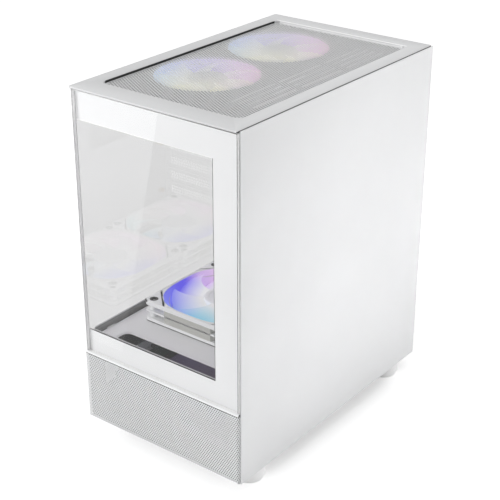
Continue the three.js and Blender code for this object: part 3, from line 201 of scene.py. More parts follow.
def pane(name, tint, ior):
    """Glass that lets lamps through; its tint and its Fresnel mirror are for what the camera and mirrors see."""
    n = material_nodes(name)
    clear = n.add("ShaderNodeBsdfTransparent")
    seen = n.seen("Camera", "Glossy")
    n.join(n.blend(seen, (0.985, 0.985, 0.985), tint), clear.inputs["Color"])
    mirror = n.add("ShaderNodeBsdfGlossy", Color=WHITE)
    n.join(n.span(n.noise(30.0, 4.0), 0.005, 0.03, 0.4, 0.7), mirror.inputs["Roughness"])
    fresnel = n.add("ShaderNodeFresnel", IOR=ior)
    inside = n.add("ShaderNodeNewGeometry").outputs["Backfacing"]
    share = n.maths("MULTIPLY", fresnel.outputs["Fac"], n.maths("SUBTRACT", seen, inside))
    return n.surface(n.mixed(share, clear.outputs["BSDF"], mirror.outputs["BSDF"]))


SHOWN = ("Camera", "Glossy", "Transmission")


def backdrop(name, value, lift):
    """A pale floor that keeps shadows; where the camera, a mirror or glass shows it, it is lifted to white."""
    n = material_nodes(name)
    matt = n.add("ShaderNodeBsdfDiffuse")
    cloud = n.noise(1.5, 2.0)
    n.join(n.ramp(cloud, [(0.3, grey(value * 0.99)), (0.7, grey(value))]), matt.inputs["Color"])
    glow = n.add("ShaderNodeEmission")
    n.join(n.maths("MULTIPLY", n.seen(*SHOWN), lift), glow.inputs["Strength"])
    both = n.add("ShaderNodeAddShader")
    n.join(matt.outputs["BSDF"], both.inputs[0])
    n.join(glow.outputs["Emission"], both.inputs[1])
    n.join(both.outputs["Shader"], n.output.inputs["Surface"])
    return n.owner


def card_glow(name, strength):
    """The light of the card that only mirrors see, brighter away from the case."""
    n = material_nodes(name)
    glow = n.add("ShaderNodeEmission")
    apart = n.add("ShaderNodeSeparateXYZ")
    n.join(n.place(), apart.inputs[0])
    n.join(n.span(apart.outputs["Y"], strength, 0.6 * strength, -1.0, -0.35), glow.inputs["Strength"])
    return n.surface(glow.outputs["Emission"])


FROSTED = (0.84, 0.84, 0.85)


def glowing(name, stops, strength, reach):
    """Frosted plastic lit from its rim by lamps whose colour changes round the fan.

    reach holds two radii, and the share of the lamps' colour at each.
    """
    n = material_nodes(name)
    where = n.add("ShaderNodeMapping", Rotation=(0.0, 0.0, math.pi))
    n.join(n.place(), where.inputs["Vector"])
    turn = n.add("ShaderNodeTexGradient", gradient_type="RADIAL")
    n.join(where.outputs["Vector"], turn.inputs["Vector"])
    hue = n.ramp(turn.outputs["Fac"], stops, "EASE")
    radius = n.add("ShaderNodeVectorMath", operation="LENGTH")
    n.join(n.scaled(n.place(), (1.0, 1.0, 0.0)), radius.inputs[0])
    near, far, least, most = reach
    rim = n.span(radius.outputs["Value"], least, most, near, far)
    colour = n.blend(rim, FROSTED, hue)
    shader = n.add("ShaderNodeBsdfPrincipled", Emission_Strength=strength)
    streak = n.noise(160.0, 3.0)
    n.join(n.span(streak, 0.3, 0.45, 0.35, 0.65), shader.inputs["Roughness"])
    n.join(n.scaled(colour, (0.5, 0.5, 0.5)), shader.inputs["Base Color"])
    n.join(colour, shader.inputs["Emission Color"])
    n.join(n.bump(streak, 0.05, GRAIN_HEIGHT), shader.inputs["Normal"])
    return n.surface(shader.outputs["BSDF"])


COOL = (0.985, 0.99, 1.0)


def enamel(name, value, rough=0.42, grain=1400, depth=0.10, zones=()):
    """White paint or plastic, a little cool."""
    return coated(name, grey(value, COOL), rough, grain=grain, depth=depth, zones=zones)


STEEL = enamel("painted_steel", 0.79, 0.55)
INNER = enamel("inner_steel", 0.76, 0.48, 1200)
PLASTIC = enamel("moulded_plastic", 0.70, 0.46, 2200, 0.16)
# Bezel plastic with painted light: the near-white strip on the rear inner wall of the opening is a painted highlight,
# and the near-black zones on the left inner wall, the right side and the front-right corner are painted shade in the
# gaps.
BEZEL = enamel("bezel_plastic_painted_light", 0.73, 0.46, 2200, 0.16, zones=[
    ([("x", "above", -87.4), ("x", "below", 84.6), ("y", "above", 142.8), ("y", "below", 144.8)], grey(0.97)),
    ([("z", "below", 396.6), ("x", "above", -89.0), ("x", "below", -87.0), ("y", "above", -139.0)], grey(0.02)),
    ([("z", "below", 396.6), ("x", "above", 103.0)], grey(0.02)),
    ([("z", "below", 396.2), ("x", "above", 102.0), ("y", "below", -170.0)], grey(0.02)),
])
MESH = enamel("mesh_steel", 0.74, 0.5, 2500, 0.05)
# Front mesh steel with painted shade: near-black along the top rows under the upper fold and on the right return
# behind the front.
FACE_MESH = enamel("face_mesh_steel_painted_shade", 0.85, 0.5, 2500, 0.05, zones=[
    ([("z", "above", 99.2)], grey(0.10)),
    ([("x", "above", 101.9), ("y", "above", -167.2)], grey(0.02)),
])
# The mesh's rounded folds are a lighter copy of the mesh steel: a painted highlight.
FOLD_HIGHLIGHT = enamel("mesh_fold_painted_highlight", 0.92, 0.5, 2500, 0.05)
# Carrier plastic in painted shade: its mid grey and near-black zones stand in for the dark depth behind the mesh. The
# two pale strips, below the glass and at the front of the right edge, are the plastic's own white.
CARRIER = enamel("carrier_plastic_painted_shade", 0.30, 0.5, 2200, 0.1, zones=[
    ([("z", "above", 100.5), ("z", "below", 104.5)], grey(0.80)),
    ([("x", "above", 101.0), ("y", "below", -166.8)], grey(0.80)),
    ([("z", "below", 100.5)], grey(0.03)),
    ([("z", "above", 104.5), ("z", "below", 140.0), ("x", "below", 101.0)], grey(0.03)),
    ([("x", "above", 101.0), ("y", "above", -166.8)], grey(0.06)),
])
# The front frame is near-black below 102 mm: painted shade for the depth behind the mesh, so that it doesn't show as
# white bars through it.
FRONT = enamel("front_frame_steel_painted_shade", 0.79, zones=[([("z", "below", 102.0)], grey(0.03))])
# The top plate's upper face, above 392.4 mm, is dark grey: painted shade for the depth under the top mesh.
TOP_PLATE = enamel("top_plate_steel_painted_shade", 0.76, 0.48, 1200, zones=[([("z", "above", 392.4)], grey(0.12))])
INK = enamel("glass_border", 0.83, 0.35, 600, 0.01)
FANWHITE = enamel("fan_plastic", 0.88, 0.32, 1500, 0.05)
BARE = coated("bare_steel", grey(0.55), 0.3, grain=500, depth=0.08, metallic=1.0)
BRASS = coated("brass", (0.62, 0.42, 0.16), 0.3, grain=700, depth=0.06, metallic=1.0)
DARK = coated("dark_plastic", grey(0.028), 0.5, grain=2000, depth=0.15, drift=0.15)
# Dark grey steel for the drive cage; its violet tint is painted light from the fans' glow.
CAGE_STEEL = coated("black_steel", (0.155, 0.100, 0.172), 0.5, grain=1200, depth=0.12, drift=0.15)
RUBBER = coated("pale_rubber", grey(0.60), 0.75, grain=1600, depth=0.25)
BOARD = coated("circuit_board", (0.03, 0.07, 0.05), 0.45, grain=300, depth=0.05, drift=0.3)
GLASS = pane("clear_glass", (0.96, 0.96, 0.96), 1.42)
SIDE_GLASS = pane("side_glass", (0.80, 0.80, 0.80), 1.95)
GLASS_EDGE = coated("glass_edge", grey(0.96), 0.3, grain=800, depth=0.01, coat=1.0)
# The glass's bevels are a painted shade line, near-black round each pane. Zones make it pale where the white border
# lies behind it at the top left, along the top edges and along the bottom edges, and mid grey near the left corner.
GLASS_SHADE_LINE = coated("glass_arris_painted_shade", grey(0.06), 0.3, grain=800, depth=0.05, zones=[
    ([("x", "below", -95.0), ("z", "above", 361.5)], grey(0.8)),
    ([("x", "fades", (-60.0, 100.0)), ("z", "above", 393.0)], grey(0.8)),
    ([("z", "below", 104.5)], grey(0.75)),
    ([("x", "above", -101.6), ("x", "below", -99.5)], grey(0.5)),
])
# The base pan's inner face, above 19.3 mm, is near-black: painted shade inside the supply chamber.
PAN = enamel("base_steel_painted_shade", 0.79, zones=[([("z", "above", 19.3)], grey(0.035))])
# The lower left panel's inner face is near-black: painted shade inside the supply chamber.
SIDE_SHEET = enamel("side_steel_painted_shade", 0.79, zones=[([("x", "above", -104.6)], grey(0.035))])
# The left glass frame is dark grey below 140 mm, except at its rear ear: painted shade in the gap beside the shroud.
GLASS_FRAME = enamel("glass_frame", 0.79, zones=[([("z", "below", 140.0), ("y", "below", 150.0)], grey(0.20))])
# A darker, olive copy of the fans' white plastic for the frame's grooved middle: painted shade in the grooves.
GROOVE_SHADE = coated("fan_groove_painted_shade", (0.50, 0.50, 0.47), 0.25, grain=1500, depth=0.05)
SHROUD = coated("shroud_steel", grey(0.84, (0.985, 0.975, 1.0)), 0.45, grain=1400, depth=0.08)
FOOT = coated("foot_rubber", grey(0.94), 0.6, grain=1600, depth=0.15)
CAP = coated("hub_cap", (0.90, 0.90, 0.93), 0.3, grain=1500, depth=0.04)
FLOOR = backdrop("floor", 0.9, 0.42)
# Colours round a fan, anticlockwise about its own axis from its right side.
TOP_GLOW = [
    (0.0, (0.85, 0.53, 0.56)), (0.105, (0.85, 0.34, 0.61)), (0.25, (0.80, 0.42, 0.90)), (0.36, (0.55, 0.42, 1.0)),
    (0.50, (0.36, 0.50, 1.0)), (0.61, (0.34, 0.62, 1.0)), (0.70, (0.75, 0.90, 0.80)), (0.76, (1.0, 0.98, 0.55)),
    (0.90, (1.0, 0.95, 0.50)), (1.0, (0.85, 0.53, 0.56)),
]
LOW_GLOW = [
    (0.0, (0.85, 0.80, 0.80)), (0.2, (0.90, 0.70, 0.88)), (0.33, (1.0, 0.72, 0.86)), (0.41, (0.72, 0.52, 0.90)),
    (0.5, (0.13, 0.10, 0.90)), (0.62, (0.17, 0.19, 0.92)), (0.70, (0.27, 0.42, 0.90)), (0.79, (0.16, 0.60, 0.80)),
    (0.9, (0.50, 0.75, 0.76)), (1.0, (0.85, 0.80, 0.80)),
]
TOP_FANS = ("top_fan_front", "top_fan_rear")
LOW_FANS = ("shroud_fan_front", "shroud_fan_rear")
FANS = (*TOP_FANS, *LOW_FANS, "rear_fan")
RINGS, GLOWS = {}, {}
for fan in FANS:
    stops, strength = (TOP_GLOW, 0.7) if fan in TOP_FANS else (LOW_GLOW, 0.55)
    RINGS[fan] = glowing(f"{fan}_ring", stops, strength, (0.02, 0.055, 0.9, 1.0))
    GLOWS[fan] = glowing(f"{fan}_blades", stops, strength, (0.024, 0.054, 0.0, 0.9))


# ---------- Shapes ----------
def linked(name, data):
    made = bpy.data.objects.new(name, data)
    scene.collection.objects.link(made)
    return made


def mesh_piece(name, points, faces, material):
    """A mesh from points in mm."""
    mesh = bpy.data.meshes.new(name)
    mesh.from_pydata([tuple(c * MM for c in p) for p in points], [], faces)
    mesh.materials.append(material)
    mesh.update()
    return linked(name, mesh)


def bevelled(made, width, segments):
    """Rounds the piece's edges."""
    bevel = made.modifiers.new("edges", "BEVEL")
    bevel.width = width * MM
    bevel.segments = segments
    bevel.limit_method = "ANGLE"
    bevel.angle_limit = math.radians(35)
    bevel.harden_normals = True
    return made


def smoothed(made, angle=35):
    """Smooth shading, with sharp edges where faces meet at more than the angle."""
    mesh = made.data
    mesh.polygons.foreach_set("use_smooth", [True] * len(mesh.polygons))
    mesh.update()
    sharp = math.radians(angle)
    work = bmesh.new()
    work.from_mesh(mesh)
    for edge in work.edges:
        edge.smooth = len(edge.link_faces) == 2 and edge.calc_face_angle(0.0) < sharp
    work.to_mesh(mesh)
    work.free()
    return made


AXES = {
    "x": lambda u, v, w: (w, u, v),
    "y": lambda u, v, w: (u, w, v),
    "z": lambda u, v, w: (u, v, w),
}


def prism(name, outline, axis, span, material, bevel=0.25, segments=2):
    """An outline in the plane across an axis, drawn out along it between two places."""
    turn = AXES[axis]
    low, high = span
    count = len(outline)
    points = [turn(u, v, low) for u, v in outline] + [turn(u, v, high) for u, v in outline]
    faces = [tuple(range(count)), tuple(range(2 * count - 1, count - 1, -1))]
    faces += [(i, i + count, (i + 1) % count + count, (i + 1) % count) for i in range(count)]
    made = outward(mesh_piece(name, points, faces, material))
    return bevelled(made, bevel, segments) if bevel else made


def block(name, us, vs, ws, material, **edges):
    """A box, by its spans along x, y and z."""
    return prism(name, rectangle(us, vs), "z", ws, material, **edges)


def outward(made, weld=0.0):
    """Turns the normals outwards, once points nearer than weld are one."""
    work = bmesh.new()
    work.from_mesh(made.data)
    if weld:
        bmesh.ops.remove_doubles(work, verts=work.verts, dist=weld)
    bmesh.ops.recalc_face_normals(work, faces=work.faces)
    work.to_mesh(made.data)
    work.free()
    return made


def rectangle(us, vs):
    return [(us[0], vs[0]), (us[1], vs[0]), (us[1], vs[1]), (us[0], vs[1])]


def rounded(us, vs, radius, steps):
    centres = [(us[1] - radius, vs[0] + radius, -90), (us[1] - radius, vs[1] - radius, 0),
               (us[0] + radius, vs[1] - radius, 90), (us[0] + radius, vs[0] + radius, 180)]
    points = []
    for u, v, start in centres:
        for i in range(steps + 1):
            angle = math.radians(start + 90 * i / steps)
            points.append((u + radius * math.cos(angle), v + radius * math.sin(angle)))
    return points


def circle(u, v, radius, sides, turn=0.0):
    angles = [turn + TAU * i / sides for i in range(sides)]
    return [(u + radius * math.cos(a), v + radius * math.sin(a)) for a in angles]


def shrunk(span, by):
    """A span made smaller at both ends."""
    return (span[0] + by, span[1] - by)


def around(middle, size):
    """The span of a size about its middle."""
    return (middle - size / 2, middle + size / 2)


def plate(name, outline, holes, axis, span, material, edge=0.15):
    """A flat sheet across an axis, with rounded edges and holes of any outline."""
    low, high = span
    curve = bpy.data.curves.new(name, "CURVE")
    curve.dimensions = "2D"
    curve.fill_mode = "BOTH"
    curve.extrude = ((high - low) / 2 - edge) * MM
    curve.bevel_depth = edge * MM
    curve.offset = -edge * MM
    curve.bevel_resolution = 0
    for ring in [outline, *holes]:
        spline = curve.splines.new("POLY")
        spline.points.add(len(ring) - 1)
        for point, (u, v) in zip(spline.points, ring):
            point.co = (u * MM, v * MM, 0.0, 1.0)
        spline.use_cyclic_u = True
    drawn = linked(name, curve)
    depsgraph = bpy.context.evaluated_depsgraph_get()
    mesh = bpy.data.meshes.new_from_object(drawn.evaluated_get(depsgraph))
    bpy.data.objects.remove(drawn)
    bpy.data.curves.remove(curve)
    mesh.name = name
    turn = AXES[axis]
    middle = (low + high) / 2 * MM
    for vertex in mesh.vertices:
        u, v, w = vertex.co
        vertex.co = turn(u, v, w + middle)
    mesh.materials.clear()
    mesh.materials.append(material)
    return smoothed(outward(linked(name, mesh), 1e-6), 60)


def lathe(name, profile, material, sides=48, angle=30):
    """A turned piece about the z axis; the profile goes from radius to radius, each with its height."""
    points, faces, rings = [], [], []
    for radius, height in profile:
        if radius < 1e-6:
            rings.append([len(points)])
            points.append((0.0, 0.0, height))
        else:
            rings.append(list(range(len(points), len(points) + sides)))
            points += [(*p, height) for p in circle(0, 0, radius, sides)]
    for below, above in zip(rings, rings[1:]):
        for i in range(sides):
            j = (i + 1) % sides
            if len(below) == 1:
                faces.append((below[0], above[j], above[i]))
            elif len(above) == 1:
                faces.append((below[i], below[j], above[0]))
            else:
                faces.append((below[i], below[j], above[j], above[i]))
    return smoothed(outward(mesh_piece(name, points, faces, material)), angle)


def perforated(name, us, vs, pitch, hole, span, material, place, corner=0.0, margin=0.5, clip=None):
    """A sheet full of staggered hexagonal holes, in rows that fit its height.

    place turns the sheet's coordinates into space, and clip says which cells are kept.
    """
    limit = hole + margin
    reach = vs[1] - vs[0] - 2 * limit
    rows = round(reach / (pitch * math.sqrt(3) / 2)) + 1
    side = reach / (rows - 1) / 1.5
    pitch = side * math.sqrt(3)
    columns = int((us[1] - us[0]) / pitch) + 3
    start_u = (us[0] + us[1] - (columns - 0.5) * pitch) / 2
    start_v = vs[0] + limit

    def nearest(u, v):
        """The outline's nearest point and the distance inwards from it."""
        cu = min(max(u, us[0] + corner), us[1] - corner)
        cv = min(max(v, vs[0] + corner), vs[1] - corner)
        du, dv = u - cu, v - cv
        apart = math.hypot(du, dv)
        if corner and du and dv:
            return (cu + du / apart * corner, cv + dv / apart * corner), corner - apart
        sides = [(u - us[0], (us[0], v)), (us[1] - u, (us[1], v)),
                 (v - vs[0], (u, vs[0])), (vs[1] - v, (u, vs[1]))]
        inward, spot = min(sides)
        return spot, inward

    ways = [(0, 2), (-1, 1), (-1, -1), (0, -2), (1, -1), (1, 1)]
    cells, touched = [], {}
    for r in range(rows):
        for c in range(columns):
            key = (2 * c + r % 2, 3 * r)
            u = start_u + key[0] * pitch / 2
            v = start_v + key[1] * side / 2
            if nearest(u, v)[1] < limit - 1e-6:
                continue
            kept = clip is None or clip(u, v)
            if kept:
                cells.append((key, u, v))
            for a, b in ways:
                spot = (key[0] + a, key[1] + b)
                touched.setdefault(spot, []).append(kept)
    flat, ids = [], {}
    for (a, b), meeting in touched.items():
        if not any(meeting):
            continue
        u = start_u + a * pitch / 2
        v = start_v + b * side / 2
        if len(meeting) < 3:
            u, v = nearest(u, v)[0]
        ids[(a, b)] = len(flat)
        flat.append((u, v))
    top, walls, edges = [], [], {}
    for (a, b), u, v in cells:
        base = len(flat)
        for x, y in ways:
            flat.append((u + x * hole * math.sqrt(3) / 2, v + y * hole / 2))
        corners = [ids[(a + x, b + y)] for x, y in ways]
        for i in range(6):
            j = (i + 1) % 6
            top.append((corners[i], corners[j], base + j, base + i))
            walls.append((base + i, base + j))
            edge = (corners[i], corners[j])
            if (edge[1], edge[0]) in edges:
                del edges[(edge[1], edge[0])]
            else:
                edges[edge] = True
    count = len(flat)
    low, high = span
    points = [place(u, v, high) for u, v in flat] + [place(u, v, low) for u, v in flat]
    faces = list(top)
    faces += [tuple(i + count for i in reversed(face)) for face in top]
    faces += [(i, j, j + count, i + count) for i, j in walls]
    faces += [(j, i, i + count, j + count) for i, j in edges]
    return mesh_piece(name, points, faces, material)


def merged(name, pieces):
    """Several pieces made into one, with their modifiers applied."""
    depsgraph = bpy.context.evaluated_depsgraph_get()
    work = bmesh.new()
    materials = []
    for piece in pieces:
        mesh = bpy.data.meshes.new_from_object(piece.evaluated_get(depsgraph))
        mesh.transform(piece.matrix_world)
        first = len(work.faces)
        material = piece.data.materials[0]
        if material not in materials:
            materials.append(material)
        work.from_mesh(mesh)
        work.faces.ensure_lookup_table()
        for face in work.faces[first:]:
            face.material_index = materials.index(material)
        bpy.data.meshes.remove(mesh)
    for piece in pieces:
        bpy.data.objects.remove(piece)
    mesh = bpy.data.meshes.new(name)
    work.to_mesh(mesh)
    work.free()
    for material in materials:
        mesh.materials.append(material)
    return smoothed(linked(name, mesh), 40)


def keep(made, body, *nodes, slot):
    """The piece rides on a body and stands for CAD nodes, which it hides; slot is not used."""
    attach(made, body)
    if nodes:
        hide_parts(*nodes)


def spans(node):
    """A CAD node's box in mm: where it starts and ends along x, y and z."""
    low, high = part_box(node)
    return [(low[i] / MM, high[i] / MM) for i in range(3)]


def middle_of(node):
    return tuple(sum(span) / 2 for span in spans(node))


# ---------- Camera, as fitted to the photograph ----------
AZIMUTH = math.radians(37.5632)
ELEVATION = math.radians(25.7390)
ROLL = math.radians(0.0842)
LENS = 88.573
EYE = (0.72939, -0.96824, 0.77030)
level = math.cos(ELEVATION)
back = Vector((math.sin(AZIMUTH) * level, -math.cos(AZIMUTH) * level, math.sin(ELEVATION)))
right = Vector((math.cos(AZIMUTH), math.sin(AZIMUTH), 0.0))
up = back.cross(right)
across = right * math.cos(ROLL) + up * math.sin(ROLL)
upward = up * math.cos(ROLL) - right * math.sin(ROLL)
camera = linked("camera", bpy.data.cameras.new("camera"))
camera.data.lens = LENS
camera.data.sensor_width = 36.0
camera.data.clip_end = 30.0
camera.matrix_world = Matrix((across, upward, back)).transposed().to_4x4()
camera.location = EYE
scene.camera = camera

# ---------- Frame pieces that keep their CAD shape ----------
CARRIED = {
    FRONT: ["front_frame"],
    PAN: ["base_pan"],
    SIDE_SHEET: ["lower_left_panel"],
    GLASS_FRAME: ["left_glass_frame"],
    INNER: ["motherboard_tray", "ssd_plate", "slot_clamp"],
    CAGE_STEEL: ["drive_cage"],
    CARRIER: ["front_carrier"],
    PLASTIC: ["strip_bezel"],
    DARK: ["fan_hub", "dust_filter"],
    RUBBER: ["supply_pad_front", "supply_pad_rear"],
    BRASS: [f"standoff_{i}" for i in range(1, 9)],
    BARE: ["usb_a_port_1", "usb_a_port_2", "usb_c_port"],
    BOARD: ["connector_board"],
}
for material, names in CARRIED.items():
    for name in names:
        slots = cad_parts[name].data.materials
        slots.clear()
        slots.append(material)

# ---------- Right panel ----------
SHEET = 0.8
(px0, px1), (py0, py1), (pz0, pz1) = spans("right_panel")
skin_in = px1 - SHEET
RAIL_FRONT = -160.5
RAIL_TOP = 386.0
FLANGE_TOP = 392.4
SCREW_HEAD = 6.0


def screw_spot(node):
    """A thumbscrew's axis, as x and z; its knurled head reaches its full radius on the right only."""
    (_, right_side), _, (low_side, high_side) = spans(node)
    return (right_side - SCREW_HEAD, (low_side + high_side) / 2)


screw_spots = [screw_spot(f"right_thumbscrew_{i}") for i in (1, 2)]
rail_u = (px0, skin_in + 0.1)
rail_v = (RAIL_FRONT, py1 - 0.1)
lip_u = (px0, px0 + SHEET)
panel = [
    block("skin", (skin_in, px1), (py0, py1), (pz0, pz1), STEEL, bevel=0.36, segments=3),
    block("hem", (skin_in - SHEET, skin_in + 0.1), (py0 + 0.1, py0 + 8), (pz0 + 0.4, pz1 - 0.4), STEEL),
    block("low", rail_u, rail_v, (pz0, pz0 + SHEET), STEEL),
    block("low_lip", lip_u, rail_v, (pz0, pz0 + 8), STEEL),
    block("high", rail_u, rail_v, (RAIL_TOP - SHEET, RAIL_TOP), STEEL),
    block("high_lip", lip_u, rail_v, (RAIL_TOP - 8, RAIL_TOP), STEEL),
    plate("flange", rectangle((skin_in - 12, skin_in + 0.1), (pz0, FLANGE_TOP)),
          [circle(x, z, 2.1, 20) for x, z in screw_spots], "y", (py1 - SHEET, py1), STEEL),
]
keep(merged("right_panel_skin", panel), "right_side", "right_panel", slot="white_steel")

# ---------- Top bezel and mesh ----------
(bx0, bx1), (by0, by1), (bz0, bz1) = spans("top_bezel")
(fx0, fx1), (fy0, fy1), (fz0, fz1) = spans("top_filter")
GAP = 0.3
opening = ((fx0 - GAP, fx1 + GAP), (fy0 - GAP, fy1 + GAP))
RADIUS = 9.0


def frame_ring(outer, inner, low, high):
    """The points and faces of a ring between two outlines with the same number of points."""
    count = len(outer)
    points = [(*p, low) for p in outer] + [(*p, low) for p in inner]
    points += [(*p, high) for p in outer] + [(*p, high) for p in inner]
    faces = []
    for i in range(count):
        j = (i + 1) % count
        a, b, c, d = i, j, count + j, count + i
        e, f, g, h = (2 * count + k for k in (a, b, c, d))
        faces += [(a, d, c, b), (e, f, g, h), (a, b, f, e), (d, h, g, c)]
    return points, faces


def ring_piece(name, outer, inner, low, high, material, bevel):
    """A closed ring between two outlines, with rounded edges."""
    return bevelled(outward(mesh_piece(name, *frame_ring(outer, inner, low, high), material)), bevel, 3)


SKIRT_FRONT = -164.5
skirt_z = (bz0, bz1 - 1.0)
inner = rounded(*opening, RADIUS, 10)
lip = rounded(shrunk(opening[0], -1.5), shrunk(opening[1], -1.5), RADIUS + 1.5, 10)
bezel = [
    ring_piece("cover", rounded((bx0, bx1), (by0, by1), 2.0, 10), inner, bz1 - 2, bz1, BEZEL, 0.5),
    ring_piece("skirt", lip, inner, *skirt_z, BEZEL, 0.2),
    block("side", (bx1 - 2, bx1 - 0.05), (SKIRT_FRONT, by1 - 2.1), skirt_z, BEZEL),
    block("rear", (-100.7, bx1 - 2), (by1 - 4, by1 - 2), skirt_z, BEZEL),
    block("front", (-97, bx1 - 0.05), (SKIRT_FRONT, SKIRT_FRONT + 2.0), skirt_z, BEZEL),
]
keep(merged("bezel_moulding", bezel), "tower", "top_bezel", slot="white_plastic")

MESH_PITCH = 3.4
MESH_HOLE = 1.32
FILTER_RIM = 0.8
middle_y = (fy0 + fy1) / 2
corner = RADIUS - GAP
sheet_corner = corner - FILTER_RIM
sheet_u, sheet_v = shrunk((fx0, fx1), FILTER_RIM), shrunk((fy0, fy1), FILTER_RIM)


def flat_top(u, v, w):
    """The top mesh's rows run along y."""
    return (v, u, w)


for name, half in (("front", lambda u, v: u < middle_y), ("rear", lambda u, v: u >= middle_y)):
    mesh = perforated(f"top_mesh_{name}", sheet_v, sheet_u, MESH_PITCH, MESH_HOLE, (fz1 - 0.54, fz1 - 0.1), MESH,
                      flat_top, corner=sheet_corner, margin=0.4, clip=half)
    keep(mesh, "top_filter", slot="white_mesh")
filter_rim = ring_piece("top_filter_rim", rounded((fx0, fx1), (fy0, fy1), corner, 10),
                        rounded(sheet_u, sheet_v, sheet_corner, 10), fz0, fz1, MESH, 0.25)
keep(filter_rim, "top_filter", "top_filter", slot="white_mesh")

# ---------- Top plate ----------
FAN_PORT = 54.5
FAN_HOLES = 52.5
CORNERS = [(a, b) for a in (-1, 1) for b in (-1, 1)]


def fan_holes(x, y, radius, sides):
    """The four screw holes round a fan's middle."""
    return [circle(x + a * FAN_HOLES, y + b * FAN_HOLES, radius, sides) for a, b in CORNERS]


def port_holes(fans):
    holes = []
    for fan in fans:
        x, y, _ = middle_of(f"{fan}_frame")
        holes += [circle(x, y, FAN_PORT, 72), *fan_holes(x, y, 2.2, 16)]
    return holes


def slot_outline(us, vs):
    """A slot with fully round ends."""
    return rounded(us, vs, min(us[1] - us[0], vs[1] - vs[0]) / 2 - 0.01, 6)


def column(first, last, pitch):
    """Places at a pitch, centred between two ends."""
    count = int((last - first) / pitch) + 1
    start = (first + last - (count - 1) * pitch) / 2
    return [start + i * pitch for i in range(count)]


(tx0, tx1), (ty0, ty1), (tz0, tz1) = spans("top_plate")
flange_y = (-163.4, 162.3)
flange_z = (tz0, tz1 - 0.3)
vents = [slot_outline((x - 2.4, x + 2.4), ys) for x in column(40.5, 70.0, 9.0)
         for ys in ((-104, -34), (-26, 44), (52, 121.5))]
top = [
    plate("sheet", rectangle((tx0, tx1), (ty0, ty1)), port_holes(TOP_FANS) + vents, "z", (tz1 - SHEET, tz1),
          TOP_PLATE),
    block("left", (tx0, tx0 + SHEET), flange_y, flange_z, TOP_PLATE),
    block("right", (tx1 - SHEET, tx1), flange_y, flange_z, TOP_PLATE),
    block("back", (tx0, 78.9), (161.5, flange_y[1]), flange_z, TOP_PLATE),
]
keep(merged("top_plate_sheet", top), "tower", "top_plate", slot="white_steel")

# ---------- Glass ----------
INK_DEPTH = 0.12
INSET = 0.5
BORDER_TOP = 31.5
BORDER_RIGHT = 31.0
BORDER_BOTTOM = 25.0
BORDER_SIDE = 21.0
BORDER_FRONT = -160.0


def slab_of_glass(name, outline, axis, span, body, node, material):
    """A pane with clear faces, pale sides and dark bevels between them; the bevels' dark is painted shade."""
    made = prism(name, outline, axis, span, material, bevel=0.45, segments=2)
    made.data.materials.append(GLASS_EDGE)
    made.data.materials.append(GLASS_SHADE_LINE)
    normal = "xyz".index(axis)
    for face in made.data.polygons:
        face.material_index = 0 if abs(face.normal[normal]) > 0.9 else 1
    made.modifiers["edges"].material = 2
    keep(made, body, node, slot="clear_glass")


gx, gy, gz = spans("front_glass")
sx, sy, sz = spans("left_glass")
slab_of_glass("front_pane", rounded(gx, gz, 1.0, 4), "y", gy, "front_panel", "front_glass", GLASS)
slab_of_glass("left_pane", rounded(sy, sz, 1.0, 4), "x", sx, "left_side", "left_glass", SIDE_GLASS)

ledge_x = gx[1] - BORDER_RIGHT
ledge_z = gz[1] - BORDER_TOP + INSET
foot_z = gz[0] + BORDER_BOTTOM
(left, right_end), (bottom, crest) = shrunk(gx, INSET), shrunk(gz, INSET)
window = [
    (left, bottom), (right_end, bottom), (right_end, crest), (left, crest),
    (left, ledge_z), (ledge_x, ledge_z), (ledge_x, foot_z), (left, foot_z),
]
border = prism("front_border", window, "y", (gy[1] - INK_DEPTH, gy[1] + 0.05), INK, bevel=0)
keep(border, "front_panel", slot="white_plastic")
# Painted lines at the window's edge: a thin dark line down its inner right edge is painted shade, and a light line
# along its inner top edge is a painted highlight.
painted_lines = [
    prism("line", rectangle((ledge_x - 0.75, ledge_x - 0.3), (foot_z, ledge_z - 0.3)), "y",
          (gy[1] - INK_DEPTH, gy[1] + 0.04), DARK, bevel=0),
    prism("painted_highlight_line", rectangle((left, ledge_x), (ledge_z - 0.5, ledge_z + 0.1)), "y",
          (gy[1] - INK_DEPTH - 0.02, gy[1] + 0.02), GLASS_EDGE, bevel=0),
]
keep(merged("border_painted_lines", painted_lines), "front_panel", slot="white_plastic")

rear_end, (bottom, crest) = sy[1] - INSET, shrunk(sz, INSET)
window_end, window_z = sy[1] - BORDER_SIDE, (sz[0] + BORDER_SIDE + 2, sz[1] - BORDER_SIDE - 2)
side_border = [
    (BORDER_FRONT, bottom), (rear_end, bottom), (rear_end, crest), (BORDER_FRONT, crest),
    (BORDER_FRONT, window_z[1]), (window_end, window_z[1]), (window_end, window_z[0]), (BORDER_FRONT, window_z[0]),
]
side_ink = prism("left_border", side_border, "x", (sx[1] - INK_DEPTH, sx[1] + 0.05), INK, bevel=0)
keep(side_ink, "left_side", slot="white_plastic")

# ---------- Front mesh ----------
(mx0, mx1), (my0, my1), (mz0, mz1) = spans("front_mesh")
FACE_PITCH = 2.6
FACE_HOLE = 0.92
FOLD = 2.1
THIN = 0.5
arc_length = math.pi / 2 * FOLD
half_flat = ((mx1 - mx0) - 2 * FOLD) / 2
return_length = (my1 - my0) - FOLD
half_u = half_flat + arc_length + return_length
centre_x = (mx0 + mx1) / 2


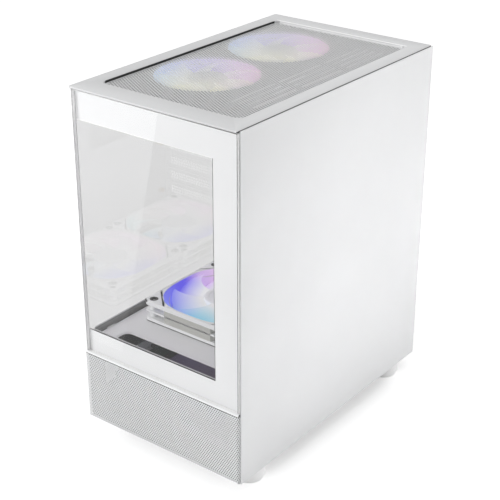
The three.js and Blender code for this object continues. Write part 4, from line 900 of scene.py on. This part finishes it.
def folded(u, v, w):
    """A sheet that bends round both upright edges; w runs from its inner to its outer face."""
    side = 1 if u > 0 else -1
    along = abs(u)
    depth = FOLD - THIN + w
    if along <= half_flat:
        return (centre_x + u, my0 + FOLD - depth, v)
    if along < half_flat + arc_length:
        angle = (along - half_flat) / FOLD
        return (centre_x + side * (half_flat + depth * math.sin(angle)), my0 + FOLD - depth * math.cos(angle), v)
    return (centre_x + side * (half_flat + depth), my0 + FOLD + along - half_flat - arc_length, v)


front_mesh = perforated("front_mesh_sheet", (-half_u, half_u), (mz0 + FOLD, mz1 - FOLD), FACE_PITCH, FACE_HOLE,
                        (0, THIN), FACE_MESH, folded, margin=0.4)
keep(front_mesh, "front_panel", slot="white_mesh")


def mesh_fold(name, low, high, sign, reach):
    """The rounded fold along the top or the bottom edge of the mesh."""
    base = low if sign > 0 else high
    arc = [math.radians(a) for a in range(0, 91, 15)]
    outer, inside = ([(my0 + FOLD - r * math.cos(a), base + sign * r * math.sin(a)) for a in arc]
                     for r in (FOLD, FOLD - THIN))
    outline = outer + [(reach, base + sign * FOLD), (reach, base + sign * (FOLD - THIN))] + inside[::-1]
    made = prism(name, outline, "x", (mx0 + 0.35, mx1 - 0.35), FOLD_HIGHLIGHT, bevel=0)
    return smoothed(made)


folds = [mesh_fold("upper", mz1 - FOLD, mz1, 1, -168.5), mesh_fold("lower", mz0, mz0 + FOLD, -1, my1)]
keep(merged("front_mesh_folds", folds), "front_panel", "front_mesh", slot="white_mesh")

# ---------- Rear wall ----------
(wx0, _), (_, wy1), (wz0, wz1) = spans("rear_wall")
WALL = (162.6, 163.4)
PORTS = ((30.05, 74.5), (207.25, 366.0))
SUPPLY = ((-80.0, 70.0), (24.0, 110.0))
SLOT_X = (-36.5, 70.5)
SLOT_TOP = 196.5
SLOT_PITCH = 20.32
BANK = (125.38, 206.66)
TAB_X = -42.5
NOTCH_X = 96.9
NOTCH_Z = (27.3, 377.7)
SIDE_X = 103.9
CELL = 7.2
GRILLE = 53.5
rear_x, _, rear_z = middle_of("rear_fan_frame")
holes = [rectangle(*PORTS), rectangle(*SUPPLY), rectangle((TAB_X - SHEET - GAP, TAB_X + GAP), BANK)]
holes += [rectangle(SLOT_X, around(SLOT_TOP - SLOT_PITCH * i, 14.5)) for i in range(4)]
holes += fan_holes(rear_x, rear_z, 2.2, 16)
left_spots = [screw_spot(f"left_thumbscrew_{i}") for i in (1, 2)]
holes += [circle(x, z, 2.05, 16) for x, z in screw_spots + left_spots]
for r in range(-9, 10):
    for c in range(-9, 10):
        u = (c + (r % 2) / 2) * CELL
        v = r * (CELL * math.sqrt(3) / 2)
        if math.hypot(u, v) < GRILLE:
            holes.append(circle(rear_x + u, rear_z + v, 3.45, 6, math.pi / 6))
holes += [circle(x, z, 1.9, 6) for z in column(118, 122, 6) for x in column(-70, 68, 6.0)]
wall_outline = [
    (wx0, wz0), (NOTCH_X, wz0), (NOTCH_X, NOTCH_Z[0]), (SIDE_X, NOTCH_Z[0]),
    (SIDE_X, NOTCH_Z[1]), (NOTCH_X, NOTCH_Z[1]), (NOTCH_X, wz1), (wx0, wz1),
]
wall = [
    plate("wall", wall_outline, holes, "y", WALL, STEEL),
    block("tab", (TAB_X + GAP, TAB_X + GAP + SHEET), (WALL[0] + 0.1, wy1), BANK, STEEL),
]
keep(merged("rear_wall_sheet", wall), "tower", "rear_wall", slot="white_steel")

for i in range(1, 5):
    (cx0, cx1), (cy0, cy1), (cz0, cz1) = spans(f"slot_cover_{i}")
    vents = []
    for row, z in enumerate(((cz0 + cz1) / 2 + d for d in (-3.6, 0, 3.6))):
        vents += [circle(x, z, 1.55, 6, math.pi / 6) for x in column(-33.5 + (row % 2) * 2.1, 67.5, 4.2)]
    cover = [
        plate("face", rectangle((cx0 + 0.3, cx1), (cz0, cz1)), vents, "y", (cy0, cy0 + SHEET), STEEL),
        block("tab", (cx0, cx0 + SHEET), (cy0, cy1), (cz0 + 0.5, cz1 - 0.5), STEEL),
    ]
    keep(merged(f"cover_{i}", cover), "tower", f"slot_cover_{i}", slot="white_steel")

# ---------- Shroud ----------
(hx0, hx1), (hy0, hy1), (hz0, hz1) = spans("supply_shroud")
CHASSIS_LEFT = -97.0
hatch = rounded((-75.0, 59.9), (-159.0, -138.0), 8.0, 10)
hem = rounded((-76.3, 61.2), (-160.3, -136.7), 9.3, 10)
hatch_rim = rounded((-78.7, 63.6), (-162.7, -134.3), 11.7, 10)
cable_slot = rounded((59.9, 72.57), (-72.25, -19.75), 4.0, 6)
shroud = [
    plate("deck", rectangle((CHASSIS_LEFT, hx1), (hy0, hy1)), port_holes(LOW_FANS) + [hatch, cable_slot], "z",
          (hz1 - SHEET, hz1), SHROUD),
    ring_piece("rim", hatch_rim, hem, hz1 - 0.1, hz1 + 0.6, SHROUD, 0.3),
    block("left", (CHASSIS_LEFT, CHASSIS_LEFT + SHEET), (hy0, hy1), (hz0, hz1 - 0.2), SHROUD),
    block("right", (hx1 - SHEET, hx1), (hy0, hy1), (hz1 - 12, hz1 - 0.2), SHROUD),
    block("tab", (hx0, CHASSIS_LEFT + SHEET), (-144.0, -132.0), (hz1 - SHEET, hz1), SHROUD),
]
keep(merged("shroud_sheet", shroud), "tower", "supply_shroud", slot="white_steel")

# ---------- Fans ----------
FAN = 120.0
DEEP = 25.0
BORE = 57.5
CHAMFER = 25.0


def octagon(half, chamfer):
    near = half - chamfer
    return [(half, -near), (half, near), (near, half), (-near, half),
            (-half, near), (-half, -near), (-near, -half), (near, -half)]


def placed(fan, part, pieces):
    """Merges a fan's pieces, and moves them from the fan's own axes to its place in the case."""
    made = merged(f"{fan}_{part}", pieces)
    x, y, z = middle_of(f"{fan}_frame")
    if fan == "rear_fan":
        turn = Matrix.Rotation(math.pi / 2, 4, "X")
        made.matrix_world = Matrix.Translation(Vector((x, y + DEEP / 2, z)) * MM) @ turn
    else:
        made.matrix_world = Matrix.Translation(Vector((x, y, z - DEEP / 2)) * MM)
    return made


MOUTH_SIDES = 96
MOUTH_POWER = 2.9


def squircle(half):
    """A round shape drawn out towards its corners."""
    points = []
    for i in range(MOUTH_SIDES):
        u, v = math.cos(TAU * i / MOUTH_SIDES), math.sin(TAU * i / MOUTH_SIDES)
        reach = half / (abs(u) ** MOUTH_POWER + abs(v) ** MOUTH_POWER) ** (1 / MOUTH_POWER)
        points.append((reach * u, reach * v))
    return points


def funnel(name, rings, material):
    """A thin closed wall through rings of points, each an outline and a height."""
    points = [(u, v, height) for outline, height in rings for u, v in outline]
    faces = []
    count = len(rings[0][0])
    for k in range(len(rings)):
        low, high = k * count, (k + 1) % len(rings) * count
        for i in range(count):
            j = (i + 1) % count
            faces.append((low + i, low + j, high + j, high + i))
    return smoothed(outward(mesh_piece(name, points, faces, material)), 50)


def fan_frame(fan, glow):
    square = around(0, FAN)
    outline = rounded(square, square, 5.0, 6)
    waist = [(FAN / 2, -32.0), (FAN / 2, 32.0), (41.9, 41.9)]
    body = [(a * u - b * v, b * u + a * v) for a, b in ((1, 0), (0, 1), (-1, 0), (0, -1)) for u, v in waist]
    bore = circle(0, 0, BORE, 72)
    mouth = squircle(58.0)
    screws = fan_holes(0, 0, 2.3, 20)
    pieces = [
        plate("upper", outline, [octagon(59.3, CHAMFER), *fan_holes(0, 0, 4.8, 20)], "z", (22.0, DEEP), FANWHITE, 0.3),
        plate("second", outline, [mouth, *screws], "z", (19.4, 22.1), FANWHITE, 0.2),
        plate("rib", outline, [bore, *screws], "z", (11.4, 13.4), FANWHITE, 0.2),
        plate("lower", outline, [bore, *screws], "z", (0.6, 4.5), FANWHITE, 0.3),
        # A thin near-black ring under the frame: a painted contact shadow where the fan meets what it stands on.
        plate("contact_shadow", outline, [bore, *screws], "z", (0, 0.7), DARK, 0.05),
        plate("middle", body, [bore], "z", (4.4, 19.5), GROOVE_SHADE, 0.05),
        plate("seat", octagon(59.25, CHAMFER), [mouth], "z", (22.0, 23.0), DARK, 0.05),
    ]
    for a, b in CORNERS:
        spot = (a * FAN_HOLES, b * FAN_HOLES)
        tip = [(a * u, b * v) for u, v in ((59.9, 55.2), (59.9, 58.6), (58.6, 59.9), (55.2, 59.9), (56.6, 56.6))]
        pieces += [
            plate("post", circle(*spot, 4.3, 24), [circle(*spot, 2.3, 20)], "z", (0.3, 22.4), FANWHITE),
            plate("pad", circle(*spot, 4.75, 24), [circle(*spot, 2.9, 20)], "z", (22.2, DEEP - 0.1), DARK, 0.1),
            prism("tip", tip, "z", (22.6, DEEP - 0.02), DARK, 0.1),
        ]
    for i in range(4):
        bar = block("strut", (18.0, 58.5), (-2.0, 2.0), (0, 4.0), FANWHITE)
        bar.data.transform(Matrix.Rotation(math.pi / 4 + i * math.pi / 2, 4, "Z"))
        pieces.append(bar)
    pieces.append(lathe("motor", [(0, 0), (20.0, 0), (20.5, 0.5), (20.5, 3.5), (20.0, 4.0), (0, 4.0)], FANWHITE))
    keep(placed(fan, "housing", pieces), "tower", f"{fan}_frame", slot="white_plastic")
    light = plate("light", octagon(58.9, CHAMFER + 2.2), [mouth], "z", (22.3, DEEP), FANWHITE, 0.25)
    keep(placed(fan, "light_ring", [light]), "tower", slot="white_plastic")
    inside, outside = (circle(0, 0, radius, MOUTH_SIDES) for radius in (56.4, 57.3))
    rings = [
        (squircle(57.9), 24.4), (squircle(57.6), 24.6), (squircle(56.9), 24.3), (inside, 18.0),
        (inside, 4.5), (outside, 4.5), (outside, 18.0), (squircle(57.9), 22.0),
    ]
    keep(placed(fan, "glow", [funnel("liner", rings, glow)]), "tower", slot="frosted_blade")


BLADES = 7
HUB = 20.5
TIP = 55.0
BLADE_HEIGHT = 14.5
BLADE_THICK = 1.2


def blade(turn, rows=8, columns=8):
    """The points and faces of a blade: an arched, twisted and swept wall, thinner towards its edges."""
    upper, lower = [], []
    for i in range(rows + 1):
        share = i / rows
        radius = (HUB - 1.0) + share * (TIP - HUB + 1.0)
        chord = 29 + 27 * share
        pitch = math.radians(36 - 16 * share)
        start = turn - 0.5 * share ** 1.4
        for j in range(columns + 1):
            station = j / columns - 0.5
            rise = 0.075 * chord * (1 - 4 * station * station)
            along = station * chord * math.cos(pitch) - rise * math.sin(pitch)
            height = station * chord * math.sin(pitch) + rise * math.cos(pitch)
            angle = start - along / radius
            wall = BLADE_THICK * (0.35 + 0.65 * (1 - (2 * station) ** 2))
            spot = (radius * math.cos(angle), radius * math.sin(angle))
            upper.append((*spot, BLADE_HEIGHT + height + wall / 2))
            lower.append((*spot, BLADE_HEIGHT + height - wall / 2))
    count = len(upper)
    wide = columns + 1
    faces = []
    for i in range(rows):
        for j in range(columns):
            a = i * wide + j
            quad = (a, a + wide, a + wide + 1, a + 1)
            faces += [quad, tuple(k + count for k in reversed(quad))]
    rim = [i * wide for i in range(rows + 1)] + [rows * wide + j for j in range(1, wide)]
    rim += [i * wide + columns for i in range(rows - 1, -1, -1)] + list(range(columns - 1, 0, -1))
    faces += [(b, a, a + count, b + count) for a, b in zip(rim, rim[1:] + rim[:1])]
    return upper + lower, faces


def fan_rotor(fan, glow):
    blades = [mesh_piece("blade", *blade(TAU * i / BLADES), glow) for i in range(BLADES)]
    blades = [smoothed(outward(made), 50) for made in blades]
    keep(placed(fan, "blades", blades), f"{fan}_rotor", slot="frosted_blade")
    cap = [(0, 5.5), (HUB, 5.5), (HUB, 21.8), (20.2, 22.7), (19.4, 23.3), (18.4, 23.5), (14.2, 23.5), (13.9, 23.2),
           (13.6, 23.2), (13.3, 23.5), (0, 23.5)]
    hub = lathe("hub", cap, CAP, 64, 25)
    shaft = lathe("shaft", [(0, 2.3), (1.6, 2.3), (1.6, 6.0), (0, 6.0)], BARE, 20)
    keep(placed(fan, "hub", [hub, shaft]), f"{fan}_rotor", f"{fan}_rotor", slot="frosted_blade")


for fan in FANS:
    fan_frame(fan, RINGS[fan])
    fan_rotor(fan, GLOWS[fan])

# ---------- Feet ----------
FOOT_PROFILE = [(0, 0), (14.6, 0), (15.6, 0.35), (16.0, 1.2), (16.0, 3.9), (16.3, 4.2), (17.3, 4.3), (17.8, 4.6),
                (18.0, 5.2), (18.0, 18.2), (17.7, 18.7), (0, 18.7)]
for node in ("foot_front_left", "foot_front_right", "foot_rear_left", "foot_rear_right"):
    x, y, _ = middle_of(node)
    made = lathe(f"{node}_turned", FOOT_PROFILE, FOOT, 64, 40)
    made.location = (x * MM, y * MM, 0)
    keep(made, "tower", node, slot="pale_rubber")

# ---------- Thumbscrews ----------
KNURL_START = 164.8


def knurled(radius, depth, count):
    """A round outline with notches."""
    points = []
    for i in range(count):
        for share, r in ((0.0, radius), (0.45, radius), (0.6, radius - depth), (0.85, radius - depth)):
            angle = TAU * (i + share) / count
            points.append((r * math.cos(angle), r * math.sin(angle)))
    return points


def cross(reach, half):
    """A cross recess's outline."""
    return [(half, -half), (reach, -half), (reach, half), (half, half), (half, reach), (-half, reach), (-half, half),
            (-reach, half), (-reach, -half), (-half, -half), (-half, -reach), (half, -reach)]


def thumbscrew(node):
    x, z = screw_spot(node)
    y0, y1 = spans(node)[1]
    rim = [(x + u, z + v) for u, v in knurled(SCREW_HEAD, 0.45, 26)]
    recess = [(x + u, z + v) for u, v in cross(2.7, 0.65)]
    head = [
        plate("grip", rim, [recess], "y", (y1 - 2.2, y1 - 0.6), STEEL, 0.2),
        plate("crown", circle(x, z, 5.1, 40), [recess], "y", (y1 - 1.0, y1), STEEL, 0.3),
        prism("knurl", rim, "y", (KNURL_START, y1 - 2.1), STEEL, bevel=0.2, segments=1),
    ]
    shank = lathe("shank", [(0, 0), (1.4, 0), (1.75, 0.5), (1.75, 12.0), (0, 12.0)], BARE, 20)
    shank.matrix_world = Matrix.Translation(Vector((x, y0, z)) * MM) @ Matrix.Rotation(-math.pi / 2, 4, "X")
    bpy.context.view_layer.update()
    keep(merged(f"{node}_turned", [*head, shank]), node, node, slot="white_steel")


for side in ("left", "right"):
    for i in (1, 2):
        thumbscrew(f"{side}_thumbscrew_{i}")

# ---------- Buttons and jack ----------
STRIP_FACE = -105.0
QUARTER = Matrix.Rotation(math.pi / 2, 4, "Y")


def turned_x(name, profile, material, node, body, finish, sides=48):
    """A turned piece whose axis runs along x, from the face of the strip inwards."""
    _, y, z = middle_of(node)
    made = lathe(name, profile, material, sides)
    made.matrix_world = Matrix.Translation(Vector((STRIP_FACE, y, z)) * MM) @ QUARTER
    keep(made, body, node, slot=finish)


POWER = [(0, 0.5), (4.4, 0.5), (4.8, 0.35), (5.4, 0.0), (5.9, 0.05), (6.3, 0.5), (6.3, 3.7), (7.5, 3.7), (7.5, 4.7),
         (3.1, 4.7), (3.1, 12.7), (0, 12.7)]
RESET = [(0, 0.4), (1.4, 0.3), (2.2, 0.05), (2.6, 0.1), (2.8, 0.4), (2.8, 3.4), (4.0, 3.4), (4.0, 4.6), (1.4, 4.6),
         (1.4, 13.3), (0, 13.3)]
JACK = [(0, 15.6), (1.75, 15.6), (1.75, 0.9), (2.0, 0.55), (2.9, 0.5), (3.4, 0.8), (3.4, 16.7), (0, 16.7)]
turned_x("power_button_cap", POWER, PLASTIC, "power_button", "power_button", "white_plastic")
turned_x("reset_button_cap", RESET, PLASTIC, "reset_button", "reset_button", "white_plastic", 32)
turned_x("audio_jack_socket", JACK, DARK, "audio_jack", "tower", "dark_plastic", 32)

# ---------- Studio ----------
FLOOR_HALF = 6000
floor_points = [(x, y, 0) for x, y in rectangle((-FLOOR_HALF, FLOOR_HALF), (-FLOOR_HALF, FLOOR_HALF))]
floor = mesh_piece("floor", floor_points, [(0, 1, 2, 3)], FLOOR)


def lamp(name, at, towards, size, power, spread=180):
    """A rectangular lamp; its places and sizes are in metres."""
    data = bpy.data.lights.new(name, "AREA")
    data.spread = math.radians(spread)
    data.shape = "RECTANGLE"
    data.size, data.size_y = size
    data.energy = power
    made = linked(name, data)
    made.location = at
    made.rotation_euler = (Vector(towards) - Vector(at)).to_track_quat("-Z", "Y").to_euler()


lamp("front_left", (-1.5, -1.9, 1.0), (0, 0, 0.2), (1.4, 1.2), 27)
lamp("right", (1.5, 1.1, 0.05), (0.1, 0.05, 0.0), (1.3, 0.12), 7)
lamp("floor_right", (0.75, 0.1, 1.3), (0.75, 0.1, 0.0), (0.6, 0.9), 7.5, spread=36)
lamp("above", (0.0, 0.6, 2.4), (0, 0, 0.2), (1.8, 1.8), 7)

card = mesh_piece("card", [(-990, -1316, 2), (-190, -316, 2), (-1500, -316, 2), (-2300, -1316, 2)], [(0, 1, 2, 3)],
                  card_glow("card_glow", 3.0))
for sight in ("camera", "diffuse", "transmission", "shadow", "volume_scatter"):
    setattr(card, f"visible_{sight}", False)

scene.world = bpy.data.worlds.new("studio")
n = Nodes(scene.world, "ShaderNodeOutputWorld")
soft, white = (n.add("ShaderNodeBackground", Color=WHITE, Strength=strength) for strength in (0.62, 1.0))
n.surface(n.mixed(n.seen(*SHOWN), soft.outputs["Background"], white.outputs["Background"]))
scene.view_settings.view_transform = "Standard"
